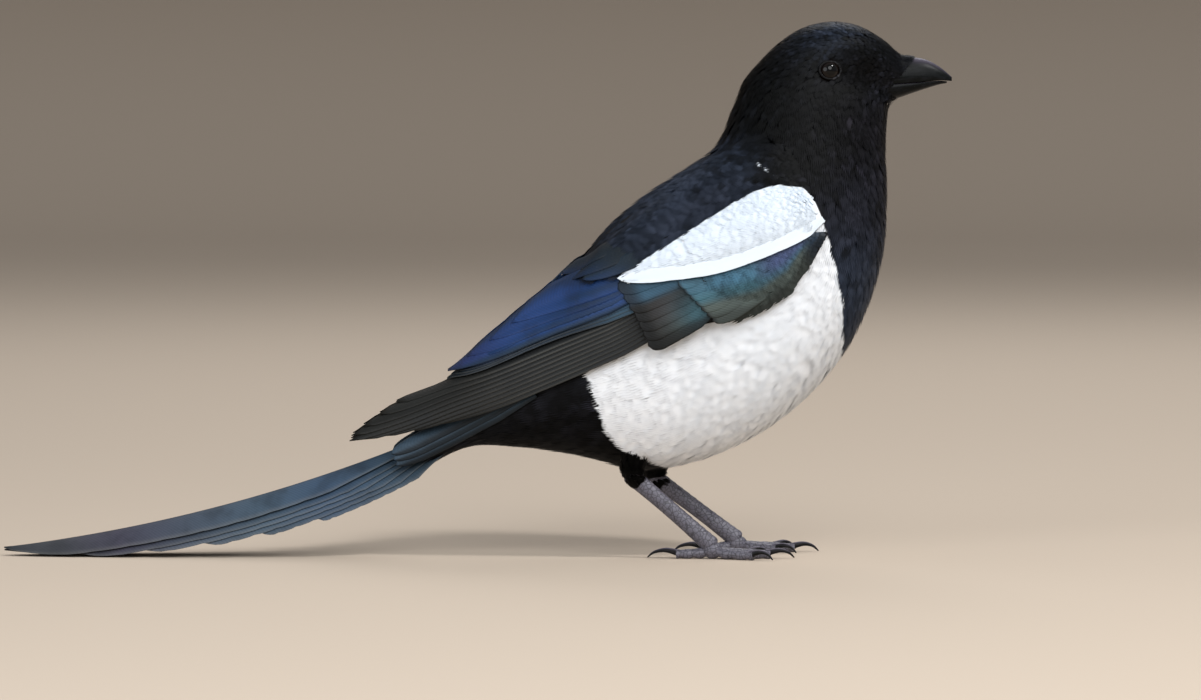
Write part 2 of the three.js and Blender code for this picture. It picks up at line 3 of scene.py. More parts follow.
import bmesh
import bpy
import numpy as np
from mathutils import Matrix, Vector


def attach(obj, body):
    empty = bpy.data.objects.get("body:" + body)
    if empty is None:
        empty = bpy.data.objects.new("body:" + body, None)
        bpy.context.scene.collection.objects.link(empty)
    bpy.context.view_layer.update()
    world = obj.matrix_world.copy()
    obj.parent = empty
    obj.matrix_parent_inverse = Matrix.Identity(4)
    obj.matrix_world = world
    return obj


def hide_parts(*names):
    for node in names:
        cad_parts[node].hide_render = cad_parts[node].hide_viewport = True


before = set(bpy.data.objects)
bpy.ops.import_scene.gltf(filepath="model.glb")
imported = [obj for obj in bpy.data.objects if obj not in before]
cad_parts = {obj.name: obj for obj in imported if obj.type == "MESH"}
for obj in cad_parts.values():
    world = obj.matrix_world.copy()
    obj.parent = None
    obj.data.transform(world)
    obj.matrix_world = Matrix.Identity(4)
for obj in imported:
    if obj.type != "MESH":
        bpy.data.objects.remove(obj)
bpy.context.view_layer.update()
print("frame loaded:", len(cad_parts), "nodes")

mm = 0.001
shiftX = -0.4714  # the solids' own frame, in mm, is moved by this to centre the bird on the origin
sides = {"right": -1, "left": 1}
viewRise = math.radians(3)  # how far the camera's side view looks down


# Small maths used all over

def spow(x, p):  # a power that keeps the sign
    return np.sign(x) * np.abs(x) ** p


def mix(a, b, t):
    return a + (b - a) * t


def smooth(x, low, high):
    t = np.clip((x - low) / (high - low), 0, 1)
    return t * t * (3 - 2 * t)


def unit(v):
    return v / np.maximum(np.linalg.norm(v, axis=-1, keepdims=True), 1e-9)


def dot(a, b):
    return (a * b).sum(-1, keepdims=True)


def between(rows, t):  # a smooth row of numbers between the rows of a table
    rows = np.asarray(rows, float)
    t = np.asarray(t, float)
    last = len(rows) - 1
    i = np.clip(np.floor(t), 0, last - 1).astype(int)
    f = (t - i)[..., None]
    p0, p1, p2, p3 = (rows[np.clip(i + k, 0, last)] for k in (-1, 0, 1, 2))
    leave, arrive, rise = (p2 - p0) / 2, (p3 - p1) / 2, p2 - p1
    cubic = leave + arrive - 2 * rise
    return p1 + leave * f + (rise - leave - cubic) * f**2 + cubic * f**3


# The body's form: ribs from back to belly, as X, Z, X, Z, half width and lean, in mm

tailRibs = [
    [-52, 42.5, -50, 24, 13, 0],
    [-31, 50, -27, 32, 11.5, 0],
]
bodyRibs = [
    [-11.4, 58.4, -4.8, 43.4, 10.5, 0],
    [9.6, 79, 16.8, 43.6, 18, 0],
    [30.4, 101, 41.6, 40, 27, 0],
    [49.2, 128.2, 65.6, 34.2, 33, 0],
    [65.3, 143.2, 89.6, 38, 35.5, 0],
    [77.8, 151.6, 113.6, 48.8, 36.5, 0],
    [86.9, 157.5, 135.6, 66.4, 36.5, 0],
    [93.8, 162.2, 152.4, 89.2, 35.5, 0],
    [98.4, 169, 162.4, 117.6, 33, 0],
    [101.2, 176.4, 164.4, 142.4, 29.5, 0],
    [104, 183.2, 163.8, 162.4, 26, 0.04],
    [106.8, 190, 164.6, 177.2, 22.8, 0.12],
    [112.4, 196.8, 166.8, 181.6, 20, 0.22],
    [120, 204.4, 168, 182.4, 17.8, 0.34],
    [130.4, 211.2, 168.8, 183.2, 16.2, 0.42],
    [142.4, 213.8, 169.6, 184, 14.8, 0.44],
    [153.6, 211.8, 170.2, 185, 12, 0.4],
    [162.4, 206.6, 170.8, 186, 9, 0.25],
    [169.2, 200.4, 171.2, 187, 6.2, 0.1],
]
wrapRibs = [  # the wrap that the folded wings lie on
    [-56.4, 48, -48, 26, 8.5, 0],
    [-30.4, 60.4, -22, 38, 11.5, 0],
    [-8.5, 69.5, -4, 42, 15.5, 0],
    [12, 88.6, 16.8, 43.6, 21, 0],
    [33, 106, 41.6, 40, 28.2, 0],
    [49.2, 129, 65.6, 34.2, 33.6, 0],
    [65.3, 143.2, 89.6, 38, 35.9, 0],
    [77.8, 151.6, 113.6, 48.8, 36.9, 0],
    [86.9, 157.5, 135.6, 66.4, 36.9, 0],
    [93.8, 162.2, 152.4, 89.2, 35.9, 0],
    [98.4, 169, 162.4, 117.6, 33.4, 0],
    [101.2, 176.4, 164.4, 142.4, 29.9, 0],
]
fullness = 2.2
ridgeShare = 0.985  # how near the ridge of the back a point of the side view is taken


class Ribbed:
    def __init__(self, ribs):
        self.ribs = np.array(ribs, float)
        self.last = len(ribs) - 1

    def at(self, u, turn, off=0.0):  # turn 0 is the back, pi the belly, and +Y lies between
        rib = between(self.ribs, u)
        backX, backZ, bellyX, bellyZ, half, lean = np.moveaxis(rib, -1, 0)
        q = spow(np.cos(turn), 2 / fullness)
        width = spow(np.sin(turn), 2 / fullness) * half * (1 + lean * q)
        share = (1 + q) / 2
        p = np.stack([mix(bellyX, backX, share), width, mix(bellyZ, backZ, share)], -1)
        if np.any(off):
            p = p + self.normal(u, turn) * np.asarray(off)[..., None]
        return p

    def outward(self, u, turn):
        middle = self.at(u, 0 * turn) / 2 + self.at(u, 0 * turn + math.pi) / 2
        return self.at(u, turn) - middle

    def normal(self, u, turn):
        e = 0.02
        along = self.at(u + e, turn) - self.at(u - e, turn)
        across = self.at(u, turn + e) - self.at(u, turn - e)
        n = unit(np.cross(along, across))
        return n * np.where(dot(n, self.outward(u, turn)) < 0, -1, 1)

    def locate(self, x, z):  # the rib, and the place on it from -1 at the belly to 1 at the back
        low = np.zeros_like(x)
        high = np.full_like(x, self.last)
        halvings = 26
        for _ in range(halvings):
            u = (low + high) / 2
            backX, backZ, bellyX, bellyZ = np.moveaxis(between(self.ribs, u)[..., :4], -1, 0)
            behind = (backX - bellyX) * (z - bellyZ) - (backZ - bellyZ) * (x - bellyX) < 0
            low = np.where(behind, u, low)
            high = np.where(behind, high, u)
        backX, backZ, bellyX, bellyZ = np.moveaxis(between(self.ribs, low)[..., :4], -1, 0)
        dx, dz = backX - bellyX, backZ - bellyZ
        return low, 2 * ((x - bellyX) * dx + (z - bellyZ) * dz) / (dx * dx + dz * dz) - 1

    def over(self, x, z, side, off):  # a point that stands off the skin, over a point of the side view
        u, q = self.locate(x, z)
        q = np.clip(q, -ridgeShare, ridgeShare)
        turn = np.arccos(spow(q, fullness / 2))
        turn = np.where(side > 0, turn, -turn)
        return self.at(u, turn) + self.normal(u, turn) * np.asarray(off)[..., None]


coatRibs = Ribbed(tailRibs + bodyRibs)  # its rib numbers run two ahead of the body's
wrap = Ribbed(wrapRibs)
body = Ribbed(bodyRibs)


# The wing's own chart: a runs back from the wrist and b up across the folded wing, in mm

wingChart = {"wristX": 138.4, "wristZ": 129.6, "droop": math.radians(23.9)}
armRows = np.array([  # place along, middle, half width, height
    [-1, 0.4, 0.6, 1.5],
    [8, -1.2, 6, 3.4],
    [20, -3, 11.6, 4.4],
    [36, -2.4, 13.8, 5],
    [54, 1.6, 15.6, 5.6],
    [72, 5.8, 15.6, 5.6],
    [88, 9.6, 11.6, 4.6],
])
shoulderRows = np.array([
    [-3, 9.4, 3, 2.5],
    [4, 12.2, 9.8, 5.2],
    [20, 13, 12.4, 7.4],
    [36, 12.8, 11.2, 7.8],
    [52, 13.2, 9.2, 8],
    [68, 13.6, 5.6, 8],
    [81, 14.4, 1.2, 7.4],
])


def chartToView(a, b):  # x and z of the side view
    cos, sin = math.cos(wingChart["droop"]), math.sin(wingChart["droop"])
    return wingChart["wristX"] - a * cos - b * sin, wingChart["wristZ"] - a * sin + b * cos


def wingPoint(a, b, side, off):
    return wrap.over(*chartToView(a, b), side, off)


ridgeLine = np.array([
    [-4, 50], [27.6, 47.9], [35.8, 46.4], [46.5, 44.7], [61.3, 42],
    [81.8, 35.6], [105.9, 21.1], [132.2, 13.7], [158.7, 4.5], [182.4, -5.1],
])


def ridgeAt(a):  # where the bird's back lies in the wing's chart
    return np.interp(a, ridgeLine[:, 0], ridgeLine[:, 1])


def rowAt(rows, a):  # middle, half width and height
    return [np.interp(a, rows[:, 0], rows[:, k]) for k in (1, 2, 3)]


def armHeight(a, b):
    middle, half, high = rowAt(armRows, a)
    over = np.clip((b - middle) / half, -1.15, 1.15)
    return high * np.sqrt(np.maximum(1 - 0.7 * over**2, 0.02))


# The tail's line from its root to its tip

tailChart = {
    "startX": -8.4, "startZ": 49.5, "length": 187.5, "rootSlope": 23.5, "tipSlope": 6.9,
    "crown": 2.6, "round": 1.7,
}
tailRows = [  # half width, and how far the edges droop
    [8, 5], [11, 8], [13.5, 10], [14.5, 11], [14, 10.5], [12.5, 9], [9, 6],
]


def tailRow(s):
    return np.moveaxis(between(tailRows, s * (len(tailRows) - 1)), -1, 0)


def tailPoint(s, y, off):
    rootSlope, tipSlope = (math.radians(tailChart[k]) for k in ("rootSlope", "tipSlope"))
    x = np.full_like(s, tailChart["startX"])
    z = np.full_like(s, tailChart["startZ"])
    steps = 24
    for n in range(steps):
        slope = mix(rootSlope, tipSlope, s * (n + 0.5) / steps)
        x = x - np.cos(slope) * tailChart["length"] * s / steps
        z = z - np.sin(slope) * tailChart["length"] * s / steps
    slope = mix(rootSlope, tipSlope, s)
    half, droop = tailRow(np.clip(s, 0, 1))
    rise = tailChart["crown"] - droop * np.abs(y / half) ** tailChart["round"] + off
    return np.stack([x - np.sin(slope) * rise, y, z + np.cos(slope) * rise], -1)


# Meshes

def toMesh(name, bm):
    mesh = bpy.data.meshes.new(name)
    bm.to_mesh(mesh)
    bm.free()
    return mesh


def addObject(name, held):
    added = bpy.data.objects.new(name, held)
    bpy.context.scene.collection.objects.link(added)
    return added


def makePiece(name, bm, paint, slot, replaced=()):
    return dress(name, toMesh(name, bm), paint, slot, replaced)


def dress(name, mesh, paint, slot, replaced=()):
    piece = addObject(name, mesh)
    mesh.shade_smooth()
    mesh.materials.append(paint)
    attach(piece, "root")
    if replaced:
        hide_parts(*replaced)
    return piece


def toScene(points):  # from mm in the solids' own frame to metres in the scene
    return (np.asarray(points) + [shiftX, 0, 0]) * mm


def placesOf(mesh):  # a mesh's points, in mm in the solids' own frame
    at = np.empty(len(mesh.vertices) * 3)
    mesh.vertices.foreach_get("co", at)
    return at.reshape(-1, 3) / mm - [shiftX, 0, 0]


def setMarks(mesh, marks):
    mark = mesh.attributes.new("mark", "FLOAT_COLOR", "POINT")
    mark.data.foreach_set("color", marks.astype(np.float32).ravel())


def setUvs(mesh, uvs):  # one place for each point
    layer = mesh.uv_layers.new(name="OFBake")
    corner = np.empty(len(mesh.loops), int)
    mesh.loops.foreach_get("vertex_index", corner)
    layer.data.foreach_set("uv", uvs[corner].astype(np.float32).ravel())


def repeated(faces, count, size):  # a template's faces for count copies of its points
    return (faces[None] + (np.arange(count) * size)[:, None, None]).reshape(-1, 3)


def addPart(bm, part):
    mesh = toMesh("part", part)
    bm.from_mesh(mesh)
    bpy.data.meshes.remove(mesh)


def gridSheet(along, across, place):  # a grid whose points are put in place by (s, t), both from 0 to 1
    bm = bmesh.new()
    bmesh.ops.create_grid(bm, x_segments=along, y_segments=across, size=0.5)
    st = np.array([v.co[:2] for v in bm.verts]) + 0.5
    for v, p in zip(bm.verts, toScene(place(st[:, 0], st[:, 1]))):
        v.co = p
    return bm


def tube(along, around, place):  # the same grid closed: its sides joined and its ends filled
    bm = gridSheet(along, around, place)
    bmesh.ops.remove_doubles(bm, verts=bm.verts, dist=1e-6)
    bmesh.ops.holes_fill(bm, edges=[e for e in bm.edges if e.is_boundary], sides=0)
    bmesh.ops.recalc_face_normals(bm, faces=bm.faces)
    return bm


def limbPoint(path, s, turn, radius, depth=1.0):  # a point that stands off a path by a radius
    k = s * (len(path) - 1)
    ahead = unit(between(path, k + 0.02) - between(path, k - 0.02))
    side = unit(np.cross([0.0, 0.0, 1.0], ahead))
    up = np.cross(ahead, side)
    r = radius[..., None]
    return between(path, k) + side * r * np.cos(turn)[..., None] + up * r * depth * np.sin(turn)[..., None]


def sectionTube(path, radius, along, around, depth=1.0):
    def place(s, t):
        return limbPoint(path, s, 2 * math.pi * t, radius(s, t), depth)

    return tube(along, around, place)


# Tufts: one small fan of barbs, laid many times along a surface

def fanShape(barbs, rows):
    bm = bmesh.new()
    columns = 2 * barbs - 1
    bmesh.ops.create_grid(bm, x_segments=columns, y_segments=rows, size=0.5)
    gaps = [f for f in bm.faces if int((f.calc_center_median().x + 0.5) * columns) % 2]
    bmesh.ops.delete(bm, geom=gaps, context="FACES")
    bmesh.ops.triangulate(bm, faces=bm.faces)
    bm.verts.ensure_lookup_table()
    bm.verts.index_update()
    xy = np.array([v.co[:2] for v in bm.verts]) + 0.5
    column = np.round(xy[:, 0] * columns).astype(int)
    shape = {
        "barb": ((column // 2) + 0.5) / barbs * 2 - 1,
        "edge": (column % 2) * 2.0 - 1,
        "row": xy[:, 1],
        "barbs": barbs,
        "faces": np.array([[v.index for v in f.verts] for f in bm.faces]),
    }
    bm.free()
    return shape


def tangents(surface, p, q):
    e = 0.01
    along = (surface(p + e, q) - surface(p - e, q)) / (2 * e)
    across = (surface(p, q + e) - surface(p, q - e)) / (2 * e)
    return along, across


scatterLook = {"cells": (160, 120), "tries": 2.4}
neighbours = [(i, j, k) for i in (-1, 0, 1) for j in (-1, 0, 1) for k in (-1, 0, 1)]


def scatter(surface, pSpan, qSpan, spacing, rng, inside=None):  # places a spacing apart over a surface
    p, q = (np.linspace(*span, cells + 1) for span, cells in zip((pSpan, qSpan), scatterLook["cells"]))
    pc, qc = np.meshgrid((p[1:] + p[:-1]) / 2, (q[1:] + q[:-1]) / 2, indexing="ij")
    pc, qc = pc.ravel(), qc.ravel()
    along, across = tangents(surface, pc, qc)
    area = np.linalg.norm(np.cross(along, across), axis=-1) * (p[1] - p[0]) * (q[1] - q[0])
    weight = area / spacing(pc, qc) ** 2
    count = int(weight.sum() * scatterLook["tries"])
    picked = rng.choice(len(weight), size=count, p=weight / weight.sum())
    ps = pc[picked] + (rng.random(count) - 0.5) * (p[1] - p[0])
    qs = qc[picked] + (rng.random(count) - 0.5) * (q[1] - q[0])
    at = surface(ps, qs)
    gap = spacing(ps, qs)
    if inside is not None:
        good = inside(ps, qs, at)
        ps, qs, at, gap = ps[good], qs[good], at[good], gap[good]
    taken = {}
    kept = []

    def crowds(n, m):
        d = at[n] - at[m]
        return d @ d < min(gap[n], gap[m]) ** 2

    for n, (x, y, z) in enumerate(np.floor(at / gap.max()).astype(int).tolist()):
        rivals = (m for i, j, k in neighbours for m in taken.get((x + i, y + j, z + k), ()))
        if not any(crowds(n, m) for m in rivals):
            taken.setdefault((x, y, z), []).append(n)
            kept.append(n)
    return ps[kept], qs[kept]


def layTufts(surface, p, q, lie, length, width, heights, shape, rng, outward, look):
    steps = 5  # each tuft's middle line is walked over the surface in these
    count = len(p)
    centre = np.zeros((steps + 1, count, 3))
    ahead = np.zeros_like(centre)
    out = np.zeros_like(centre)
    pNow, qNow = p.copy(), q.copy()
    sway = rng.normal(0, look["sway"], count)[:, None]
    for k in range(steps + 1):
        along, across = tangents(surface, pNow, qNow)
        n = unit(np.cross(along, across))
        n = n * np.where(dot(n, outward(pNow, qNow)) < 0, -1, 1)
        go = lie(pNow, qNow, along, across)
        go = unit(go - n * dot(go, n))
        go = unit(go + np.cross(n, go) * sway)
        centre[k], ahead[k], out[k] = surface(pNow, qNow), go, n
        step = go * (length / steps)[:, None]
        e, f, g = dot(along, along)[:, 0], dot(along, across)[:, 0], dot(across, across)[:, 0]
        a, b = dot(step, along)[:, 0], dot(step, across)[:, 0]
        det = np.maximum(e * g - f * f, 1e-6)
        pNow = pNow + np.clip((a * g - b * f) / det, -1.5, 1.5)
        qNow = qNow + np.clip((b * e - a * f) / det, -1.5, 1.5)
    barb, edge, row = shape["barb"], shape["edge"], shape["row"]
    reach = 1 - look["round"] * np.abs(barb) ** 1.8
    ragged = 1 - look["ragged"] * rng.random((count, shape["barbs"]))
    which = np.round((barb + 1) / 2 * shape["barbs"] - 0.5).astype(int)
    s = np.clip(row[None, :] * reach[None, :] * ragged[:, which], 0, 1)
    spread = look["root"] + (1 - look["root"]) * np.sin(np.minimum(s / look["widest"], 1) * math.pi / 2)
    taper = np.clip(1 - row ** look["point"], 0.04, 1)[None, :]
    x = barb[None, :] * spread + edge[None, :] / shape["barbs"] * spread * taper * look["cover"]
    k = np.clip(s * steps, 0, steps - 1e-6)
    low = k.astype(int)
    f = (k - low)[..., None]
    index = np.arange(count)[:, None]
    c = mix(centre[low, index], centre[low + 1, index], f)
    t = unit(mix(ahead[low, index], ahead[low + 1, index], f))
    n = unit(mix(out[low, index], out[low + 1, index], f))
    side = np.cross(n, t)
    h0, h1 = heights
    lift = h0[:, None] + (h1 - h0)[:, None] * s ** look["rise"]
    lift = lift - look["camber"] * width[:, None] * x**2
    lift = lift + rng.normal(0, look["loose"], (count, 1)) * s**2
    points = c + side * (x * width[:, None] / 2)[..., None] + n * lift[..., None]
    return {"points": points, "s": s, "x": x, "centre": centre, "level": n}


def calm(mesh, level, share):  # shades a feather partly as the smooth form it lies on
    own = np.empty(len(level) * 3, np.float32)
    mesh.vertices.foreach_get("normal", own)
    own = own.reshape(-1, 3)
    level = level * np.where(dot(own, level) < 0, -1, 1)
    mesh.normals_split_custom_set_from_vertices(unit(mix(own, level, share)))


bakePatch = {"across": 0.0015, "along": 0.003}  # the patch that one tuft takes of the baked picture


def joinTufts(name, laid, shape, marks, root, paint, slot):
    count, size = laid["s"].shape
    faces = repeated(shape["faces"], count, size)
    patch = np.stack([laid["x"] * bakePatch["across"], (laid["s"] - 0.5) * bakePatch["along"]], -1)
    mesh = bpy.data.meshes.new(name)
    mesh.from_pydata(toScene(laid["points"].reshape(-1, 3)), [], faces)
    setMarks(mesh, marks)
    setUvs(mesh, (root[:, None, :] + patch).reshape(-1, 2))
    print(" ", name, len(faces), "triangles")
    dress(name, mesh, paint, slot)
    calm(mesh, laid["level"].reshape(-1, 3), coatLook["calm"])


# Shader maths: a wrapped socket that takes Python's operators

class Wire:
    def __init__(self, paint, socket):
        self.paint, self.socket = paint, socket

    def math(self, operation, *others):
        inputs = dict(enumerate((self, *others)))
        return self.paint.node("ShaderNodeMath", {"operation": operation}, inputs).out(0)

    def __add__(self, other):
        return self.math("ADD", other)

    def __mul__(self, other):
        return self.math("MULTIPLY", other)

    def __sub__(self, other):
        return self.math("SUBTRACT", other)

    __radd__ = __add__
    __rmul__ = __mul__

    def clamp(self):
        return self.math("MAXIMUM", 0).math("MINIMUM", 1)

    def ramp(self, low, high):
        settings = {"interpolation_type": "SMOOTHSTEP"}
        return self.paint.node("ShaderNodeMapRange", settings, {0: self, 1: low, 2: high}).out(0)


class PaintNode:
    def __init__(self, paint, node):
        self.paint, self.node = paint, node

    def out(self, key):
        return Wire(self.paint, self.node.outputs[key])


class Paint:
    def __init__(self, name):
        self.material = bpy.data.materials.new(name)
        self.material.use_nodes = True
        self.tree = self.material.node_tree
        self.shader = self.tree.nodes["Principled BSDF"]

    def node(self, kind, settings=None, inputs=None):
        node = self.tree.nodes.new(kind)
        for key, setting in (settings or {}).items():
            if key == "stops":
                ramp = node.color_ramp
                while len(ramp.elements) < len(setting):
                    ramp.elements.new(1)
                for element, (place, color) in zip(ramp.elements, setting):
                    element.position = place
                    element.color = (*color, 1)
            else:
                setattr(node, key, setting)
        for key, given in (inputs or {}).items():
            self.feed(node.inputs[key], given)
        return PaintNode(self, node)

    def feed(self, socket, given):
        if isinstance(given, Wire):
            self.tree.links.new(given.socket, socket)
        else:
            socket.default_value = given

    def place(self):
        return self.node("ShaderNodeTexCoord").out("Object")

    def attribute(self, name):
        return self.node("ShaderNodeAttribute", {"attribute_name": name}).out("Color")

    def alpha(self, name):
        return self.node("ShaderNodeAttribute", {"attribute_name": name}).out("Alpha")

    def parts(self, color):
        split = self.node("ShaderNodeSeparateColor", {}, {0: color})
        return split.out(0), split.out(1), split.out(2)

    def noise(self, scale, detail, at=None):
        wants = {"Vector": at or self.place(), "Scale": scale, "Detail": detail, "Roughness": 0.55}
        return self.node("ShaderNodeTexNoise", {}, wants).out(0)

    def blend(self, share, a, b):
        settings = {"data_type": "RGBA"}
        given = [(*c, 1) if isinstance(c, tuple) else c for c in (a, b)]
        return self.node("ShaderNodeMix", settings, {0: share, 6: given[0], 7: given[1]}).out(2)

    def colors(self, at, stops):
        return self.node("ShaderNodeValToRGB", {"stops": stops}, {0: at}).out(0)

    def bump(self, height, distance, strength=1.0):
        wants = {"Height": height, "Distance": distance, "Strength": strength}
        return self.node("ShaderNodeBump", {}, wants).out(0)

    def finish(self, **inputs):
        for key, given in inputs.items():
            if isinstance(given, tuple):
                given = (*given, 1)
            self.feed(self.shader.inputs[key.replace("_", " ")], given)
        return self.material


# Closed vanes: one solidified grid, bent and coloured for each

def vaneShape(along, across):
    bm = bmesh.new()
    bmesh.ops.create_grid(bm, x_segments=along, y_segments=across, size=0.5)
    bmesh.ops.solidify(bm, geom=bm.faces[:], thickness=1.0)
    bmesh.ops.recalc_face_normals(bm, faces=bm.faces)
    bmesh.ops.triangulate(bm, faces=bm.faces)
    bm.verts.index_update()
    co = np.array([v.co for v in bm.verts])
    level = (co[:, 2] > co[:, 2].mean()).astype(float)
    faces = np.array([[v.index for v in f.verts] for f in bm.faces])
    bm.free()
    return {"s": co[:, 0] + 0.5, "t": co[:, 1] + 0.5, "level": level, "faces": faces}


def joinVanes(name, vanes, shape, paint, slot, replaced=()):
    count = len(vanes)
    size = len(shape["s"])
    points = toScene(np.concatenate([v["points"] for v in vanes]))
    faces = repeated(shape["faces"], count, size)
    across = (np.arange(count)[:, None] + 0.08 + 0.84 * shape["t"][None]) / count
    strips = np.stack([across, np.tile(0.02 + 0.96 * shape["s"], (count, 1))], -1)
    mesh = bpy.data.meshes.new(name)
    mesh.from_pydata(points, [], faces)
    bm = bmesh.new()
    bm.from_mesh(mesh)
    bmesh.ops.recalc_face_normals(bm, faces=bm.faces)
    bm.to_mesh(mesh)
    bm.free()
    setMarks(mesh, np.concatenate([v["marks"] for v in vanes]))
    setUvs(mesh, strips.reshape(-1, 2))
    print(" ", name, len(faces), "triangles")
    return dress(name, mesh, paint, slot, replaced)


# Markings, in mm of the side view

bellyFront = np.array([  # z and x of the white's edge towards the breast
    [131, 138], [128, 138.9], [115.2, 142.7], [102.4, 145.9], [89.6, 146.1], [79.4, 146.3], [60, 152],
])
bellyRear = np.array([  # the same towards the tail
    [80, 42.5], [72.8, 43.6], [61, 48], [51.5, 50.6], [42.4, 58.6], [37, 70.5], [33, 84],
])
bellyTop = {"x": 46, "z": 82, "slope": 0.55}
fleck = {"x": 115.4, "z": 153.6, "length": 2.2, "width": 0.15, "cos": 0.8, "sin": 0.6}
shoulderPatch = np.array([
    [57.6, 112], [80.4, 126.4], [96, 136.8], [109.6, 144.8], [120, 147.8], [129.2, 146.8], [135.2, 141.6],
    [138, 134], [137.6, 131.2], [121.6, 124.4], [111.2, 118.9], [98.4, 114.4], [85.6, 110.9], [60.8, 110.2],
])
# Over the black's own blue gloss, the tone paints light and shade: painted sheen on the crown, mantle and
# breast, painted shade at the lore, nape, neck side and vent
plumageSheenAndShade = {  # x and z in the side view, reach in mm, tone from painted shade to painted sheen, share of blue
    "forehead": (158, 204, 6, 0.18, 0.3),
    "crown": (149.6, 209, 8, 0.85, 1.0),
    "crownMiddle": (136, 205, 8, 0.6, 0.8),
    "crownRear": (124, 199, 8, 0.35, 0.4),
    "nape": (114, 187, 10, 0.0, 0.4),
    "ear": (127, 186, 9, 0.32, 0.2),
    "brow": (148, 200, 4, 0.25, 0.2),
    "lore": (154, 196, 6, 0.0, 0.0),
    "underLore": (151, 190, 4, 0.2, 0.0),
    "jaw": (161, 190, 6, 0.6, 0.3),
    "chin": (168, 184.5, 4, 0.1, 0.2),
    "underEye": (142, 184, 6, 0.22, 0.0),
    "throat": (160, 172, 9, 0.62, 0.1),
    "throatSide": (148, 168, 8, 0.34, 0.0),
    "neckSide": (128, 165, 12, 0.14, 0.1),
    "hindNeck": (108, 174, 9, 0.14, 0.5),
    "collar": (104, 160, 8, 0.8, 1.0),
    "breast": (150, 140, 14, 0.72, 0.2),
    "breastLow": (152, 108, 14, 0.95, 0.9),
    "mantleRidge": (78, 148, 9, 0.95, 1.0),
    "mantle": (88, 138, 12, 0.78, 0.6),
    "mantleRear": (58, 122, 12, 0.8, 0.9),
    "rump": (30, 95, 20, 0.4, 0.5),
    "vent": (30, 58, 14, 0.48, 0.15),
    "ventLow": (30, 43, 8, 0.15, 0.1),
    "thigh": (58, 36, 8, 0.08, 0.0),
}


def seen(points):  # the side view looks down a little, so what stands nearer lies lower in it
    return points[..., 0], points[..., 2] - math.sin(viewRise) * np.abs(points[..., 1])


def fleckAt(points):  # how far inside the small pale fleck a place lies, in mm
    x, z = seen(points)
    along = (x - fleck["x"]) * fleck["cos"] - (z - fleck["z"]) * fleck["sin"]
    across = (x - fleck["x"]) * fleck["sin"] + (z - fleck["z"]) * fleck["cos"]
    return fleck["width"] - np.hypot(along * fleck["width"] / fleck["length"], across)


def whiteAt(points):  # the same for the belly's white
    x, z = seen(points)
    front = np.interp(-z, -bellyFront[:, 0], bellyFront[:, 1]) - x
    rear = x - np.interp(-z, -bellyRear[:, 0], bellyRear[:, 1])
    top = bellyTop["z"] + (x - bellyTop["x"]) * bellyTop["slope"] - z
    return np.minimum(np.minimum(front, rear), top)


def patchAt(points):  # the same for the shoulder's white patch
    x, z = seen(points)
    at = np.stack([x, z], -1)
    nearest = np.full(x.shape, 1e3)
    inside = np.zeros(x.shape, bool)
    for a, b in zip(shoulderPatch, np.roll(shoulderPatch, -1, 0)):
        edge = b - a
        share = np.clip(((at - a) @ edge) / (edge @ edge), 0, 1)
        nearest = np.minimum(nearest, np.linalg.norm(at - a - share[..., None] * edge, axis=-1))
        crosses = (a[1] > z) != (b[1] > z)
        inside ^= crosses & (x < a[0] + edge[0] * (z - a[1]) / (edge[1] + 1e-9))
    return np.where(inside, nearest, -nearest)


def toneAt(points):  # tone, from painted shade to painted sheen, and share of blue
    x, z = seen(points)
    total = np.full(x.shape, 1e-9)
    tone, blue = 0.4 * total, 0.3 * total
    for spotX, spotZ, reach, spotTone, spotBlue in plumageSheenAndShade.values():
        weight = np.exp(-((x - spotX) ** 2 + (z - spotZ) ** 2) / (2 * reach**2))
        total, tone, blue = total + weight, tone + weight * spotTone, blue + weight * spotBlue
    return tone / total, blue / total


def plumageMarks(laid, inside, rng, fray):  # share of white, tone from painted shade to painted sheen, place along the tuft and share of blue, which on the white is a share of painted shade
    count = len(laid["s"])
    tone, blue = toneAt(laid["points"])
    soft = 0.4 + 0.6 * np.minimum(fray, 1)
    white = smooth(inside + rng.normal(0, 0.7, (count, 1)) * fray, -soft, soft)
    tone = np.clip(tone + rng.normal(0, 0.13, (count, 1)), 0, 1.2)
    return np.stack([white, tone, laid["s"], blue], -1)


def chartOf(points):  # a and b of the wing's chart
    x, z = wingChart["wristX"] - points[..., 0], wingChart["wristZ"] - points[..., 2]
    cos, sin = math.cos(wingChart["droop"]), math.sin(wingChart["droop"])
    return x * cos + z * sin, x * sin - z * cos


def seenChart(points):  # the same as the camera sees them
    x, z = seen(points)
    return chartOf(np.stack([x, x, z], -1))


# Finishes

# The black's colour by tone, from painted shade at 0 to painted sheen at 1; the blue rows the same with a
# blue gloss
blackTones = [
    (0.0, (0.0008, 0.0008, 0.0008)),
    (0.25, (0.0017, 0.0017, 0.0019)),
    (0.5, (0.0044, 0.0042, 0.0050)),
    (0.75, (0.0094, 0.0088, 0.0112)),
    (1.0, (0.0180, 0.0160, 0.0210)),
]
blueTones = [
    (0.0, (0.0008, 0.0010, 0.0010)),
    (0.25, (0.0024, 0.0032, 0.0040)),
    (0.5, (0.0062, 0.0082, 0.0120)),
    (0.75, (0.0130, 0.0185, 0.0300)),
    (1.0, (0.0250, 0.0340, 0.0540)),
]

